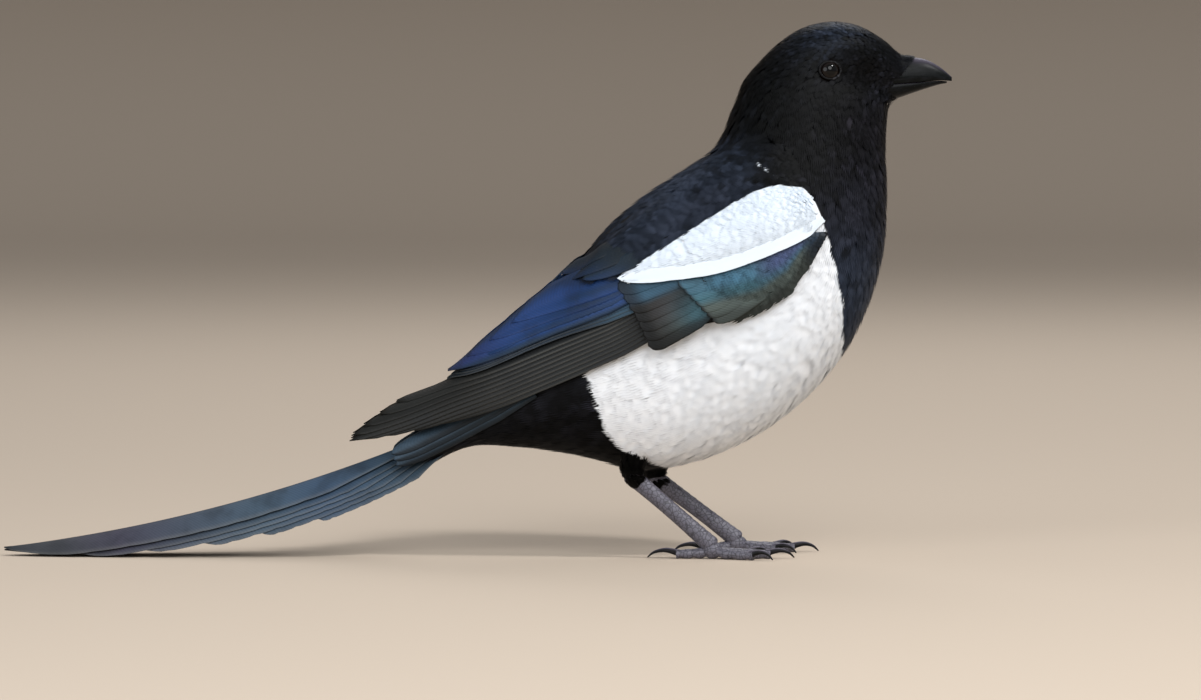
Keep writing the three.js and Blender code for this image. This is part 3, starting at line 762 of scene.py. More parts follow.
tones = {
    "snow": (0.86, 0.877, 0.90),
    "snowShade": (0.82, 0.84, 0.87),
    # painted shade on the white: darker at the tufts' roots, and darker and bluer on the shoulder patch
    "snowRootPaintedShade": (0.79, 0.812, 0.845),
    "snowPaintedShade": (0.56, 0.65, 0.745),
    "skin": (0.010, 0.010, 0.011),
    "skinShade": (0.006, 0.006, 0.0066),
    "skinWhite": (0.76, 0.785, 0.82),
    "drift": (0.006, 0.008, 0.010),
    "barbGap": (0.003, 0.004, 0.005),
    "barbEdge": (0.20, 0.21, 0.22),
    "horn": (0.0055, 0.0062, 0.0075),
    "hornShade": (0.0018, 0.0024, 0.0024),
    "hornPaintedHighlight": (0.105, 0.092, 0.122),
    "claw": (0.020, 0.019, 0.021),
    "clawShade": (0.006, 0.006, 0.0065),
    "lid": (0.0022, 0.0022, 0.0025),
    "lidBead": (0.030, 0.030, 0.034),
    "scale": (0.094, 0.089, 0.114),
    "scaleSeam": (0.030, 0.028, 0.037),
    "scalePale": (0.135, 0.126, 0.152),
    "pupil": (0.001, 0.001, 0.001),
    "iris": (0.006, 0.0035, 0.0025),
    "irisShade": (0.0025, 0.0016, 0.0012),
}


def plumagePaint(name):
    paint = Paint(name)
    white, tone, along = paint.parts(paint.attribute("mark"))
    blue = paint.alpha("mark")
    patches = paint.noise(75, 3) - 0.5
    # Random patches, and lighter towards each tuft's tip: painted shade at the roots, where the tufts lie
    # over one another
    tone = (tone + patches * 0.35 + along * 0.1 - 0.05).clamp()
    black = paint.blend(blue, paint.colors(tone, blackTones), paint.colors(tone, blueTones))
    streak = paint.noise(260, 3)
    snow = paint.blend(streak.ramp(0.35, 0.7), tones["snowShade"], tones["snow"])
    # Darker towards the roots: painted shade where the white tufts lie over one another
    snow = paint.blend(along.ramp(0.0, 0.6), tones["snowRootPaintedShade"], snow)
    # Where the blue share is high, on the shoulder patch, the white is painted darker and bluer: painted
    # shade
    snow = paint.blend(blue * 0.8, snow, tones["snowPaintedShade"])
    return paint.finish(
        Base_Color=paint.blend(white.ramp(0.25, 0.75), black, snow),
        Roughness=0.5 + white * 0.35,
        Specular_IOR_Level=0.07,
    )


def skinPaint(name):
    paint = Paint(name)
    white, _, _ = paint.parts(paint.attribute("mark"))
    ripple = paint.noise(400, 3)
    dark = paint.blend(ripple.ramp(0.3, 0.7), tones["skinShade"], tones["skin"])
    return paint.finish(
        Base_Color=paint.blend(white.ramp(0.35, 0.65), dark, tones["skinWhite"]),
        Roughness=0.85,
        Specular_IOR_Level=0.1,
        Normal=paint.bump(ripple, 0.0004),
    )


def glossPaint(name, roughness):
    paint = Paint(name)
    color = paint.attribute("mark")
    along = paint.alpha("mark")
    drift = paint.noise(70, 3)
    barbs = ((along * 4.6).math("SINE") + 1) * 0.5
    fine = paint.noise(1100, 2)
    color = paint.blend(drift.ramp(0.45, 0.75) * 0.4, color, tones["drift"])
    color = paint.blend(barbs * 0.16, color, tones["barbGap"])
    color = paint.blend(fine.ramp(0.6, 0.8) * 0.06, color, tones["barbEdge"])
    return paint.finish(
        Base_Color=color,
        Roughness=roughness + fine * 0.16,
        Specular_IOR_Level=0.2,
        Normal=paint.bump(barbs, 0.00005, 0.5),
    )


def hornPaint(name, kind):
    paint = Paint(name)
    stretch = {"Vector": paint.place(), "Scale": (60, 300, 300)}
    grain = paint.noise(3, 4, paint.node("ShaderNodeMapping", {}, stretch).out(0))
    specks = paint.noise(900, 3)
    _, _, upness = paint.parts(paint.node("ShaderNodeNewGeometry").out("Normal"))
    color = paint.blend(grain.ramp(0.4, 0.75), tones[kind + "Shade"], tones[kind])
    return paint.finish(
        # Lighter where the surface faces up: a painted highlight along the bill's ridge and on top of the
        # claws
        Base_Color=paint.blend(upness.ramp(0.4, 0.95) * 0.7, color, tones["hornPaintedHighlight"]),
        Roughness=0.3 + specks * 0.1,
        Specular_IOR_Level=0.09,
        Normal=paint.bump(grain + specks * 0.2, 0.00006, 0.6),
    )


def lidSkinPaint(name):
    paint = Paint(name)
    beads = paint.noise(420, 2)
    return paint.finish(
        Base_Color=paint.blend(beads.ramp(0.56, 0.7), tones["lid"], tones["lidBead"]),
        Roughness=0.5,
        Specular_IOR_Level=0.12,
        Normal=paint.bump(beads, 0.0002, 0.6),
    )


def legPaint(name):
    paint = Paint(name)
    wants = {"Vector": paint.place(), "Scale": 620}
    cells = paint.node("ShaderNodeTexVoronoi", {"feature": "DISTANCE_TO_EDGE"}, wants).out(0)
    blotches = paint.noise(160, 4)
    plates = cells.ramp(0.0, 0.12)
    color = paint.blend(plates, tones["scaleSeam"], tones["scale"])
    return paint.finish(
        # Random paler blotches over the scales
        Base_Color=paint.blend(blotches.ramp(0.5, 0.8) * 0.5, color, tones["scalePale"]),
        Roughness=0.36 + blotches * 0.2,
        Normal=paint.bump(plates, 0.00012, 0.8),
    )


def eyePaint(name):
    paint = Paint(name)
    ring, _, _ = paint.parts(paint.attribute("mark"))
    streaks = paint.noise(1500, 3)
    iris = paint.blend(streaks.ramp(0.3, 0.7), tones["irisShade"], tones["iris"])
    return paint.finish(
        Base_Color=paint.blend(ring.ramp(0.45, 0.55), tones["pupil"], iris),
        Roughness=0.05,
        Specular_IOR_Level=0.19,
    )


plumage = plumagePaint("plumage")
bareSkin = skinPaint("skin_under_feathers")
gloss = glossPaint("glossy_quills", 0.42)
tailGloss = glossPaint("glossy_tail", 0.5)
horn = hornPaint("horn", "horn")
clawHorn = hornPaint("claw_horn", "claw")
scaled = legPaint("scaled_leg")
wetEye = eyePaint("wet_eye")
print("finishes ready")


# The skin, one closed form under the whole coat

legPlaces = {
    "right": {"ankle": [61.8, 33.4], "pad": [94.4, 4.6]},
    "left": {"ankle": [71.0, 30.4], "pad": [105.0, 4.6]},
}
legSizes = {"apart": 17, "shinRadius": 2.5, "shinDepth": 3.1, "padRadius": 3.4, "toeRadius": 2.1}
coatDepth = {"ribs": [0, 2, 6, 9, 11, 13, 16, 20], "depth": [0.8, 1.2, 2.4, 2.6, 2.0, 1.3, 0.9, 0.7]}
skinLook = {"under": 0.35, "first": 1.7, "last": 20, "voxel": 1.3, "rounds": 6, "thigh": (6.4, 3.0)}


def depthAt(u):
    return np.interp(u, coatDepth["ribs"], coatDepth["depth"])


def thighPath(name):
    x, z = legPlaces[name]["ankle"]
    y = sides[name] * legSizes["apart"]
    return [[x + 9, y * 0.8, z + 26], [x + 4, y * 0.88, z + 13], [x + 0.6, y, z + 1]]


def setShare(mesh, share):  # a mark of one number: share of white, or of iris
    setMarks(mesh, np.stack([share, 0 * share, 0 * share, 0 * share], -1))


def makeBacking(name, along, across, place, slot, replaced=()):  # a thin sheet that closes the gaps
    bm = gridSheet(along, across, place)
    bmesh.ops.recalc_face_normals(bm, faces=bm.faces)
    backing = makePiece(name, bm, bareSkin, slot, replaced)
    thickness = backing.modifiers.new("thickness", "SOLIDIFY")
    thickness.thickness = 0.3 * mm
    thickness.offset = 0
    return backing.data


def makeSkin():
    def place(s, t):
        u = skinLook["first"] + s * (skinLook["last"] - skinLook["first"])
        return coatRibs.at(u, t * 2 * math.pi, -depthAt(u) - skinLook["under"])

    bm = tube(90, 72, place)
    for name in sides:
        addPart(bm, sectionTube(thighPath(name), lambda s, t: mix(*skinLook["thigh"], s**1.3), 14, 18))
    mesh = toMesh("skin", bm)
    skin = addObject("skin", mesh)
    remesh = skin.modifiers.new("remesh", "REMESH")
    remesh.mode = "VOXEL"
    remesh.voxel_size = skinLook["voxel"] * mm
    relax = skin.modifiers.new("relax", "SMOOTH")
    relax.factor = 0.5
    relax.iterations = skinLook["rounds"]
    bpy.context.view_layer.update()
    made = bpy.data.meshes.new_from_object(skin.evaluated_get(bpy.context.evaluated_depsgraph_get()))
    bpy.data.objects.remove(skin)
    bpy.data.meshes.remove(mesh)
    made.name = "skin"
    made.materials.clear()
    setShare(made, smooth(whiteAt(placesOf(made)), -1, 1))
    under = ["torso", "neck", "head", "right_thigh", "left_thigh"]
    dress("skin", made, bareSkin, "plumage_black", under)


makeSkin()
print("skin done")


# Eyes, sunk in the head behind their lids

eyeShape = {
    "x": 140.9, "z": 194.6, "radius": 4.9, "sink": 3.2, "pupil": 0.5, "domeFrom": 0.72, "dome": 0.16,
    "lid": 4.0, "lidThick": 0.5, "corners": 0.07, "folds": 22,
}


def eyePlace(side):
    x, z = np.full(2, eyeShape["x"]), np.full(2, eyeShape["z"])
    at, above = body.over(x, z, side, np.array([0.0, 1.0]))
    return at, above - at


def makeEye(name, side):
    at, out = eyePlace(side)
    centre = at - out * eyeShape["sink"]
    bm = bmesh.new()
    bmesh.ops.create_uvsphere(bm, u_segments=48, v_segments=32, radius=eyeShape["radius"])
    turn = Vector((0, 0, 1)).rotation_difference(Vector(out)).to_matrix()
    height = np.array([v.co.z / eyeShape["radius"] for v in bm.verts])
    dome = 1 + eyeShape["dome"] * np.maximum(height - eyeShape["domeFrom"], 0)
    for v, swell in zip(bm.verts, dome):
        v.co = Vector(toScene(np.array(turn @ (v.co * swell)) + centre))
    ring = np.sqrt(1 - np.clip(height, -1, 1) ** 2)
    iris = smooth(ring, eyeShape["pupil"] - 0.16, eyeShape["pupil"] + 0.04)
    piece = makePiece(name + "_eyeball", bm, wetEye, "eye", [name + "_eye"])
    setShare(piece.data, np.where(height > 0, iris, 1))


def makeLids(name, side):
    at, out = eyePlace(side)
    ahead = unit(np.array([1.0, 0, 0]) - out * out[0])
    up = np.cross(out, ahead) * -side

    def place(s, t):
        around, section = 2 * math.pi * s, 2 * math.pi * t
        pinch = 1 + eyeShape["corners"] * np.cos(2 * around)  # a little longer than high
        upper = np.maximum(np.sin(around), 0)
        thick = eyeShape["lidThick"] * (1 + 0.35 * upper)
        radius = (eyeShape["lid"] + thick * np.cos(section)) * pinch - 0.25 * upper
        flat = ahead * (radius * np.cos(around))[:, None]
        flat = flat + up * (radius * np.sin(around) * 0.96)[:, None]
        folds = 0.06 * np.sin(around * eyeShape["folds"]) * np.maximum(np.sin(section), 0)
        high = 0.15 + thick * np.sin(section) + folds
        return at + flat + out * high[:, None]

    bm = gridSheet(96, 12, place)
    bmesh.ops.remove_doubles(bm, verts=bm.verts, dist=1e-6)
    bmesh.ops.recalc_face_normals(bm, faces=bm.faces)
    makePiece(name + "_lids", bm, lidPaint, "plumage_black")


lidPaint = lidSkinPaint("lid_skin")
for name, side in sides.items():
    makeEye(name, side)
    makeLids(name, side)
print("eyes done")


# The coat

coatLook = {
    "sway": 0.08, "round": 0.36, "ragged": 0.12, "root": 0.4, "widest": 0.5,
    "point": 2.8, "cover": 1.3, "rise": 0.5, "camber": 0.025, "loose": 0.05,
    "calm": 0.88,  # how far the tufts are shaded as the smooth form
}
coatRoom = {"eye": 4.1, "tip": 4.2, "seam": 0.05}
tuftSizes = {  # along the ribs of the coat, from the tail to the bill
    "ribs": [0, 1.5, 3, 6, 9, 10.5, 12, 13.5, 15, 17, 19, 20],
    "spacing": [3.4, 3.2, 2.9, 2.7, 2.4, 2.0, 1.65, 1.35, 1.15, 1.0, 0.82, 0.72],
    "length": [15, 15, 13, 12.5, 11, 9.5, 8, 6.4, 4.8, 3.9, 3.0, 2.2],
    "width": [7.5, 7.2, 6.8, 6.4, 5.4, 4.4, 3.4, 2.6, 2.0, 1.6, 1.25, 1.0],
    "tip": [0.5, 0.5, 0.4, 0.28, 0.28, 0.3, 0.3, 0.26, 0.22, 0.18, 0.12, 0.05],
}
coatPieces = {
    "coat_rear": {"ribs": (1.75, 4.5), "barbs": 7, "rows": 4, "slot": "plumage_black"},
    "coat_body": {"ribs": (4.5, 8.2), "barbs": 7, "rows": 4, "slot": "plumage_white"},
    "coat_breast": {"ribs": (8.2, 11), "barbs": 6, "rows": 4, "slot": "plumage_black"},
    "coat_neck": {"ribs": (11, 13.6), "barbs": 5, "rows": 4, "slot": "plumage_black"},
    "coat_head": {"ribs": (13.6, 20), "barbs": 4, "rows": 3, "slot": "plumage_black"},
}


def tuftSize(key, u):
    return np.interp(u, tuftSizes["ribs"], tuftSizes[key])


def backward(p, q, along, across):
    return unit(-along)


def forward(p, q, along, across):
    return unit(along)


eyeRims = [eyePlace(side)[0] for side in sides.values()]


def clearOfEyes(at, room):
    return np.min([np.linalg.norm(at - rim, axis=-1) for rim in eyeRims], axis=0) > room


def underWing(at):
    a, b = chartOf(at)
    middle, half, _ = rowAt(armRows, a)
    return (a > 10) & (a < 88) & (np.abs(b - middle) < half - 5) & (np.abs(at[..., 1]) > 12)


def makeCoat(name, spec, seed):
    rng = np.random.default_rng(seed)
    shape = fanShape(spec["barbs"], spec["rows"])

    def inside(p, q, at):
        return clearOfEyes(at, coatRoom["eye"]) & ~underWing(at)

    turns = (-math.pi - coatRoom["seam"], math.pi + coatRoom["seam"])
    p, q = scatter(coatRibs.at, spec["ribs"], turns, lambda p, q: tuftSize("spacing", p), rng, inside)
    length = tuftSize("length", p) * rng.uniform(0.85, 1.15, len(p))
    width = tuftSize("width", p) * rng.uniform(0.85, 1.15, len(p))
    heights = (-depthAt(p), tuftSize("tip", p) + rng.normal(0, 0.04, len(p)))
    laid = layTufts(coatRibs.at, p, q, backward, length, width, heights, shape, rng,
                    coatRibs.outward, coatLook)
    middle, tip = laid.pop("centre")[[3, -1]]
    good = clearOfEyes(tip, coatRoom["tip"]) & clearOfEyes(middle, coatRoom["tip"])
    laid = {key: rows[good] for key, rows in laid.items()}
    root = np.stack([p[good] / 20, q[good] / (2 * math.pi) + 0.5], -1) * 0.98 + 0.01
    at = laid["points"]
    fray = np.interp(at[:, :1, 0], [60, 90, 130], [1.0, 0.75, 0.55])
    marks = plumageMarks(laid, whiteAt(at), rng, fray)
    # The white keeps a quarter of the blue share, a little painted shade
    marks[..., 3] *= 1 - 0.75 * marks[..., 0]
    joinTufts(name, laid, shape, marks, root, plumage, spec["slot"])


for seed, (name, spec) in enumerate(coatPieces.items()):
    makeCoat(name, spec, 11 + seed)
print("coat done")


# The wings: a dark base, small coverts over it, then the vanes tier by tier

vaneLook = {"quillAt": 0.66, "ridge": 0.14, "thick": 0.3, "camber": 0.3}
primaryTips = [[172, -6.6], [187, -4.4], [198, -2.3], [206, -0.4], [203, 1.3], [194, 2.9], [183, 4.6]]
sheen = {  # what the glossy quills take their colour from
    "black": (0.0028, 0.0033, 0.0036),
    "ink": (0.0062, 0.0085, 0.0095),
    "olive": (0.0095, 0.0096, 0.0084),
    "moss": (0.060, 0.078, 0.072),
    "dun": (0.046, 0.042, 0.046),
    "teal": (0.038, 0.104, 0.135),
    "sea": (0.048, 0.135, 0.210),
    "blue": (0.020, 0.050, 0.165),
    "bright": (0.055, 0.080, 0.180),
    "royal": (0.005, 0.032, 0.125),
    "violet": (0.018, 0.020, 0.075),
    "slate": (0.009, 0.022, 0.041),
    # a pale edge colour; on the tail it is a painted highlight
    "edge": (0.150, 0.150, 0.140),
}


def tinted(first, *layers):
    color = np.array(sheen[first])
    for name, share in layers:
        color = mix(color, np.array(sheen[name]), np.clip(share, 0, 1)[..., None])
    return color


def darkened(color, share, most):
    return mix(color, np.array(sheen["black"]), np.clip(share, 0, most)[..., None])


def near(a, b, atA, atB, reach):
    return np.exp(-((a - atA) ** 2 + (b - atB) ** 2) / (2 * reach**2))


def primaryQuill(n):
    return {
        "start": [60, -6.5 + 1.9 * n], "middle": [112, -10.4 + 2.35 * n], "tip": between(primaryTips, n),
        "width": 6.6, "lift": [1.9, 1.9 + 0.12 * n], "tilt": 0.34, "point": 0.3,
    }


def secondaryQuill(n):
    return {
        "start": [62, 3 + 2.5 * n], "middle": [112, 11 + n], "tip": [160 - 3.5 * n, 5.5 + 0.6 * n],
        "width": 9, "lift": [3.1, 3.1 + 0.5 * n], "tilt": 0.3, "point": 0.22,
    }


def tertialQuill(n):
    return {
        "start": [62 + 2 * n, 10 + 3 * n], "middle": [108 - 7 * n, 13.5 + 3 * n],
        "tip": [158 - 16 * n, 4.5 + 4 * n],
        "width": 12.5, "lift": [4.4, 5.9 + 0.2 * n], "tilt": 0.045,
        "point": 0.7, "keen": 0.8, "relief": 0.5,
    }


def covertQuill(n):
    return {
        "start": [24 + 3 * n, -7 + 3.8 * n], "middle": [40 + 2.4 * n, -11 + 4.4 * n],
        "tip": [54 + 1.6 * n, -12.6 + 4.2 * n],
        "width": 8.6, "lift": [2.6, 6 + 0.2 * n], "tilt": 0.06, "point": 0.4, "relief": 0.35,
    }


def thumbQuill(n):
    return {
        "start": [50, -8 + 2.9 * n], "middle": [66, -10.4 + 3.6 * n],
        "tip": [81 + 0.5 * max(n - 3, 0), -11.6 + 3.9 * n],
        "width": 8, "lift": [5.3, 5.3 + 0.06 * n], "tilt": 0.03, "point": 0.2, "relief": 0.15,
    }


def primaryTint(s, t, a, b, n):
    outer = smooth(t, 0.87, 0.96) * (1 - smooth(a, 130, 165)) * smooth(a, 80, 92)
    groove = (1 - smooth(t, 0.74, 0.86)) * (1 - smooth(a, 130, 160))
    ink = 0.6 * (1 - smooth(a, 110, 150))
    return tinted("olive", ("ink", ink), ("black", 0.85 * groove), ("edge", 0.27 * outer))


def secondaryTint(s, t, a, b, n):
    return tinted(
        "slate",
        ("sea", 0.34 * (1 - smooth(a, 82, 104))),
        ("royal", 0.8 * smooth(n, 0.8, 2.8)),
        ("ink", 0.8 * smooth(a, 134, 160)),
        ("black", 0.5 * (1 - smooth(t, 0.6, 0.8))),
        ("edge", 0.28 * smooth(t, 0.92, 1.0) * (1 - smooth(n, 0.5, 2.5))),
    )


def tertialTint(s, t, a, b, n):
    high = smooth(b - ridgeAt(a), -10, -1)
    low = 1 - smooth(b - np.interp(a, [72, 101, 134, 164], [5.2, 6.6, 8.5, 9.6]), -1.5, 1.5)
    streak = 0.5 + 0.5 * np.sin(t * 15 + 2.1 * n + 0.02 * a)
    return tinted(
        "royal",
        ("blue", 0.3 * streak + 0.5 * high),
        ("violet", 0.6 * smooth(a, 124, 156)),
        ("slate", 0.55 * (1 - streak) * (1 - high)),
        ("slate", 0.6 * (1 - smooth(t, 0.1, 0.4))),
        ("slate", 0.85 * low),
        ("black", 0.35 * low * smooth(t, 0.95, 1)),
        ("ink", 0.7 * smooth(a, 150, 166)),
    )


def frontTint(a, b):  # the front of the wing, from its lower edge up
    low = np.interp(a, [1, 13, 20, 33, 54], [0, -7.4, -14.2, -17.7, -14.2])
    high = np.interp(a, [1, 35, 56, 80], [2, 0.9, 3.8, 15])
    v = (b - low) / (high - low)
    return tinted(
        "moss",
        ("teal", smooth(v, 0.28, 0.5)),
        ("sea", smooth(v, 0.5, 0.75) * smooth(a, 26, 38) * (1 - 0.5 * smooth(a, 44, 56))),
        ("bright", smooth(v, 0.3, 0.7) * (1 - smooth(a, 22, 36))),
        ("slate", 1 - smooth(a, 6, 14)),
        # Olive along the lower edge: painted shade
        ("olive", 0.6 * (1 - smooth(v, 0.0, 0.22))),
        ("slate", 0.4 * smooth(v, 0.92, 1.05)),
    )


def covertTint(s, t, a, b, n):
    strip = smooth(b, 2.5, 6) * smooth(a, 52, 60)
    color = mix(frontTint(a, b), tinted("slate", ("sea", 0.4 + 0 * a)), strip[..., None])
    return darkened(color, np.maximum(smooth(s, 0.92, 0.99), 0.08 * smooth(t, 0.93, 1.0)), 0.9)


def thumbTint(s, t, a, b, n):
    upper = smooth(b, 1, 5)
    color = tinted(
        "olive",
        ("dun", 0.65 * near(a, b, 69, -4.5, 5.5)),
        ("moss", 0.42 * near(a, b, 68, -11, 4.5)),
        ("teal", 0.75 * near(a, b, 59, -8, 5.5)),
        ("black", 0.7 * smooth(-b, 10.5, 13.5)),
    )
    color = mix(color, tinted("slate", ("sea", 0.4 * (1 - smooth(a, 74, 82)))), upper[..., None])
    tip = smooth(a, 75, 80) * (1 - 0.6 * upper)
    return darkened(color, np.maximum(tip, 0.06 * smooth(t, 0.93, 1.0)), 0.95)


wingTiers = {  # how many vanes, the last one's number, and what shapes and colours them
    "primaries": (9, 6, primaryQuill, primaryTint),
    "secondaries": (7, 4, secondaryQuill, secondaryTint),
    "tertials": (4, 2, tertialQuill, tertialTint),
    "coverts": (7, 4, covertQuill, covertTint),
    "thumbQuills": (7, 6, thumbQuill, thumbTint),
}


def vaneWidth(s, point, keen, rng):  # narrow at the root, pointed and a little frayed
    root = 0.45 + 0.55 * np.minimum(s / 0.3, 1)
    tip = np.where(s < 1 - point, 1, np.maximum(1 - ((s - 1 + point) / point) ** 2, 0) ** keen)
    notches = np.maximum(np.sin(s * rng.uniform(50, 90) + rng.uniform(0, 6)), 0.55) * (s > 0.3)
    return np.maximum(root * tip * (1 - 0.035 * notches), 0.03)


def quillCrossing(t, quillAt):  # from 0 at a vane's edges to 1 at its quill
    return np.where(t < quillAt, t / quillAt, (1 - t) / (1 - quillAt))


def wingVane(quill, tint, n, side, shape, rng, form=wrap):
    quillAt, s = vaneLook["quillAt"], shape["s"]
    t = np.interp(shape["t"], [0, 0.5, 1], [0, quillAt, 1])
    start, middle, tip = (np.array(quill[k]) for k in ("start", "middle", "tip"))
    path = (1 - s[:, None]) ** 2 * start + 2 * (s * (1 - s))[:, None] * middle + s[:, None] ** 2 * tip
    ahead = unit(2 * (1 - s[:, None]) * (middle - start) + 2 * s[:, None] * (tip - middle))
    over = (1 - 2 * t) * quill["width"] / 2 * vaneWidth(s, quill["point"], quill.get("keen", 0.5), rng)
    a = path[:, 0] - ahead[:, 1] * over
    b = path[:, 1] + ahead[:, 0] * over
    layer = (quill["over"](a, b) if "over" in quill else mix(*quill["lift"], s)) - quill["tilt"] * over
    relief = quill.get("relief", 1)
    half = quillCrossing(t, quillAt)
    layer = layer + vaneLook["camber"] * relief * (0.5 - (half - 1) ** 2)
    ridge = vaneLook["ridge"] * relief * np.exp(-(((t - quillAt) / 0.035) ** 2)) * (1 - 0.8 * s)
    thick = vaneLook["thick"] * np.minimum(half * 3 + 0.25, 1)
    high = layer + np.where(shape["level"] > 0, thick / 2 + ridge, -thick / 2)
    x, z = chartToView(a, b)
    points = form.over(x, z, side, high)
    outward = unit(form.over(x, z, side, high + 1) - points)
    color = tint(s, t, *seenChart(points), n) * rng.uniform(0.85, 1.15)
    phase = s * np.linalg.norm(tip - start) + np.abs(over)
    return {"points": points, "marks": np.column_stack([color, phase]), "level": outward}


def wingOut(side):
    return lambda a, b: np.tile([0.0, side, 0.35], (*np.shape(a), 1))


def rimmed(s, t, slope):  # 0 at the rim of a sheet and 1 inside it
    return np.minimum(1, slope * np.minimum(np.minimum(t, 1 - t), np.minimum(s, 1 - s)))


def alongWing(p, q, along, across):
    return unit(along) - 0.05 * unit(across)


smallCoverts = {
    "look": dict(coatLook, ragged=0.05, loose=0.03, root=0.5, point=3.5, round=0.42, sway=0.03),
    "a": [0, 15, 35, 55],
    "size": [3.6, 6.0, 9.0, 11.5],
}


def makeWing(name, side, seed):
    rng = np.random.default_rng(seed)
    shape = vaneShape(34, 10)
    vanes = []
    for count, last, quillOf, tintOf in wingTiers.values():
        for k in range(count):
            n = k * last / (count - 1)
            vanes.append(wingVane(quillOf(n), tintOf, n, side, shape, rng))
    joinVanes(name + "_wing_vanes", vanes, shape, gloss, "wing_feathers", [name + "_wing"])

    def base(s, t):
        a = mix(-1.0, 90.0, s)
        middle, half, _ = rowAt(armRows, a)
        over = 1 - 2 * t
        high = mix(0.3, armHeight(a, middle + over * half) - 0.9, rimmed(s, t, 6))
        return wingPoint(a, middle + over * half * 0.97, side, high)

    makeBacking(name + "_wing_base", 40, 16, base, "wing_feathers")

    def surface(a, b):
        return wingPoint(a, b, side, armHeight(a, b))

    def onArm(a, b, at):
        middle, half, _ = rowAt(armRows, a)
        return np.abs(b - middle) < half * 0.97

    def size(a):
        return np.interp(a, smallCoverts["a"], smallCoverts["size"])

    a, b = scatter(surface, (-1, 46), (-19, 18), lambda a, b: size(a) * 0.26, rng, onArm)
    count = len(a)
    heights = (np.full(count, -0.7), np.full(count, 0.45))
    shape = fanShape(6, 4)
    laid = layTufts(surface, a, b, alongWing, size(a), size(a) * 0.6, heights, shape, rng, wingOut(side),
                    smallCoverts["look"])
    color = frontTint(*seenChart(laid["points"])) * rng.uniform(0.8, 1.1, (count, 1, 1))
    color = darkened(color, 0.5 * smooth(laid["s"], 0.84, 1), 1)
    marks = np.concatenate([color, (laid["s"] * 9)[..., None]], -1)
    root = np.stack([(a + 5) / 230, (b + 25) / 70], -1)
    joinTufts(name + "_wing_coverts", laid, shape, marks, root, gloss, "wing_feathers")


def shoulderHeight(a, b):
    middle, half, high = rowAt(shoulderRows, a)
    over = (b - middle) / half
    arm = np.where(b < 14, armHeight(a, b) + 1.3, 0)
    lower = np.maximum(high * np.sqrt(np.maximum(1 - 0.9 * over**2, 0.1)), arm)
    atRidge = np.interp(a, [70, 82, 92, 100, 109], [0.6, 0.6, 1.8, 3.5, 5])
    besideRidge = mix(2.2, 6.9, smooth(a, 40, 75))
    mantle = mix(atRidge, besideRidge, smooth(ridgeAt(a) - b, 2, 12)) * smooth(a, -12, 12)
    return np.where(over < 0, lower, mix(high, mantle, smooth(over, 0, 1.6)))


patchQuills = [  # long white feathers along the patch's lower edge: start, middle, tip
    ([-2, 6.2], [11, 3.2], [30, 4.1]),
    ([8, 4.6], [25, 3.4], [44, 5.0]),
    ([20, 4.1], [38, 3.8], [58, 7.2]),
    ([32, 4.4], [52, 5.8], [71, 12.0]),
    ([46, 6.6], [64, 9.4], [80.5, 14.8]),
]
mantleQuills = [  # the long dark ones that close the mantle over the wing
    ([54, 21], [72, 18.4], [92, 18.6]),
    ([57, 25], [78, 21.6], [99, 21.6]),
    ([60, 28.5], [82, 25.2], [104, 25.4]),
]


def overShoulder(line, sunk, high, rise, look):  # a vane that rises out of the shoulder's tufts
    start, middle, tip = line

    def over(a, b):
        return shoulderHeight(a, b) + mix(sunk, high, smooth(a, start[0] + rise[0], start[0] + rise[1]))

    return {"start": start, "middle": middle, "tip": tip, "over": over, **look}


def patchQuill(n):
    look = {"width": 5, "tilt": 0.13, "point": 0.5, "relief": 0.2}
    return overShoulder(patchQuills[n], -1.3, 0.3 + 0.04 * n, (2, 15), look)


def mantleQuill(n):
    look = {"width": 6.5, "tilt": 0.06, "point": 0.6, "relief": 0.4}
    return overShoulder(mantleQuills[n], -1.6, 0.5 + 0.1 * n, (8, 24), look)


def patchTint(s, t, a, b, n):
    # White, middling tone, and a low place along the feather: painted shade towards its root
    return np.stack([1 + 0 * s, 0.5 + 0 * s, 0.3 + 0.3 * s], -1)


def mantleTint(s, t, a, b, n):
    royal = 0.3 * smooth(s, 0.5, 0.9) * smooth(t, 0.3, 0.8)
    return tinted("ink", ("slate", 0.5 * smooth(s, 0.2, 0.7)), ("royal", royal))


shoulderSlopes = {  # how the tufts turn along the patch's lower and upper edges and the back's ridge
    "a": [-3, 4, 20, 36, 52, 68, 81, 100],
    "low": [-0.6, -0.25, -0.03, 0.1, 0.2, 0.33, 0.42, 0.3],
    "high": [0.8, 0.3, 0.06, -0.09, -0.15, -0.24, -0.28, -0.3],
    "ridge": [-0.15, -0.15, -0.17, -0.2, -0.25, -0.38, -0.62, -0.65],
}
shoulderLook = dict(coatLook, ragged=0.08, sway=0.05, point=3.2)
patchPaintedShade = 0.85  # the share of blue in the patch's white, a painted shade that makes it darker and bluer
lowestAt = {  # the patch's lower edge, where its tufts are rooted and where their points end
    "root": ([-3, 0, 17, 30, 42, 56, 79], [9, 4.2, 4.6, 3.8, 4.6, 6.3, 15.2]),
    "tip": ([-3, 0, 17, 30, 42, 56, 79], [7, 2.2, 2.4, 1.6, 2.6, 4.2, 13.6]),
}


def shoulderEdges(a):
    middle, half, _ = rowAt(shoulderRows, a)
    return middle - half, middle + half


def rearEnd(b):
    return np.interp(b, [14, 16, 18, 23.7, 26, 35], [80.5, 83, 97, 99, 109, 106])


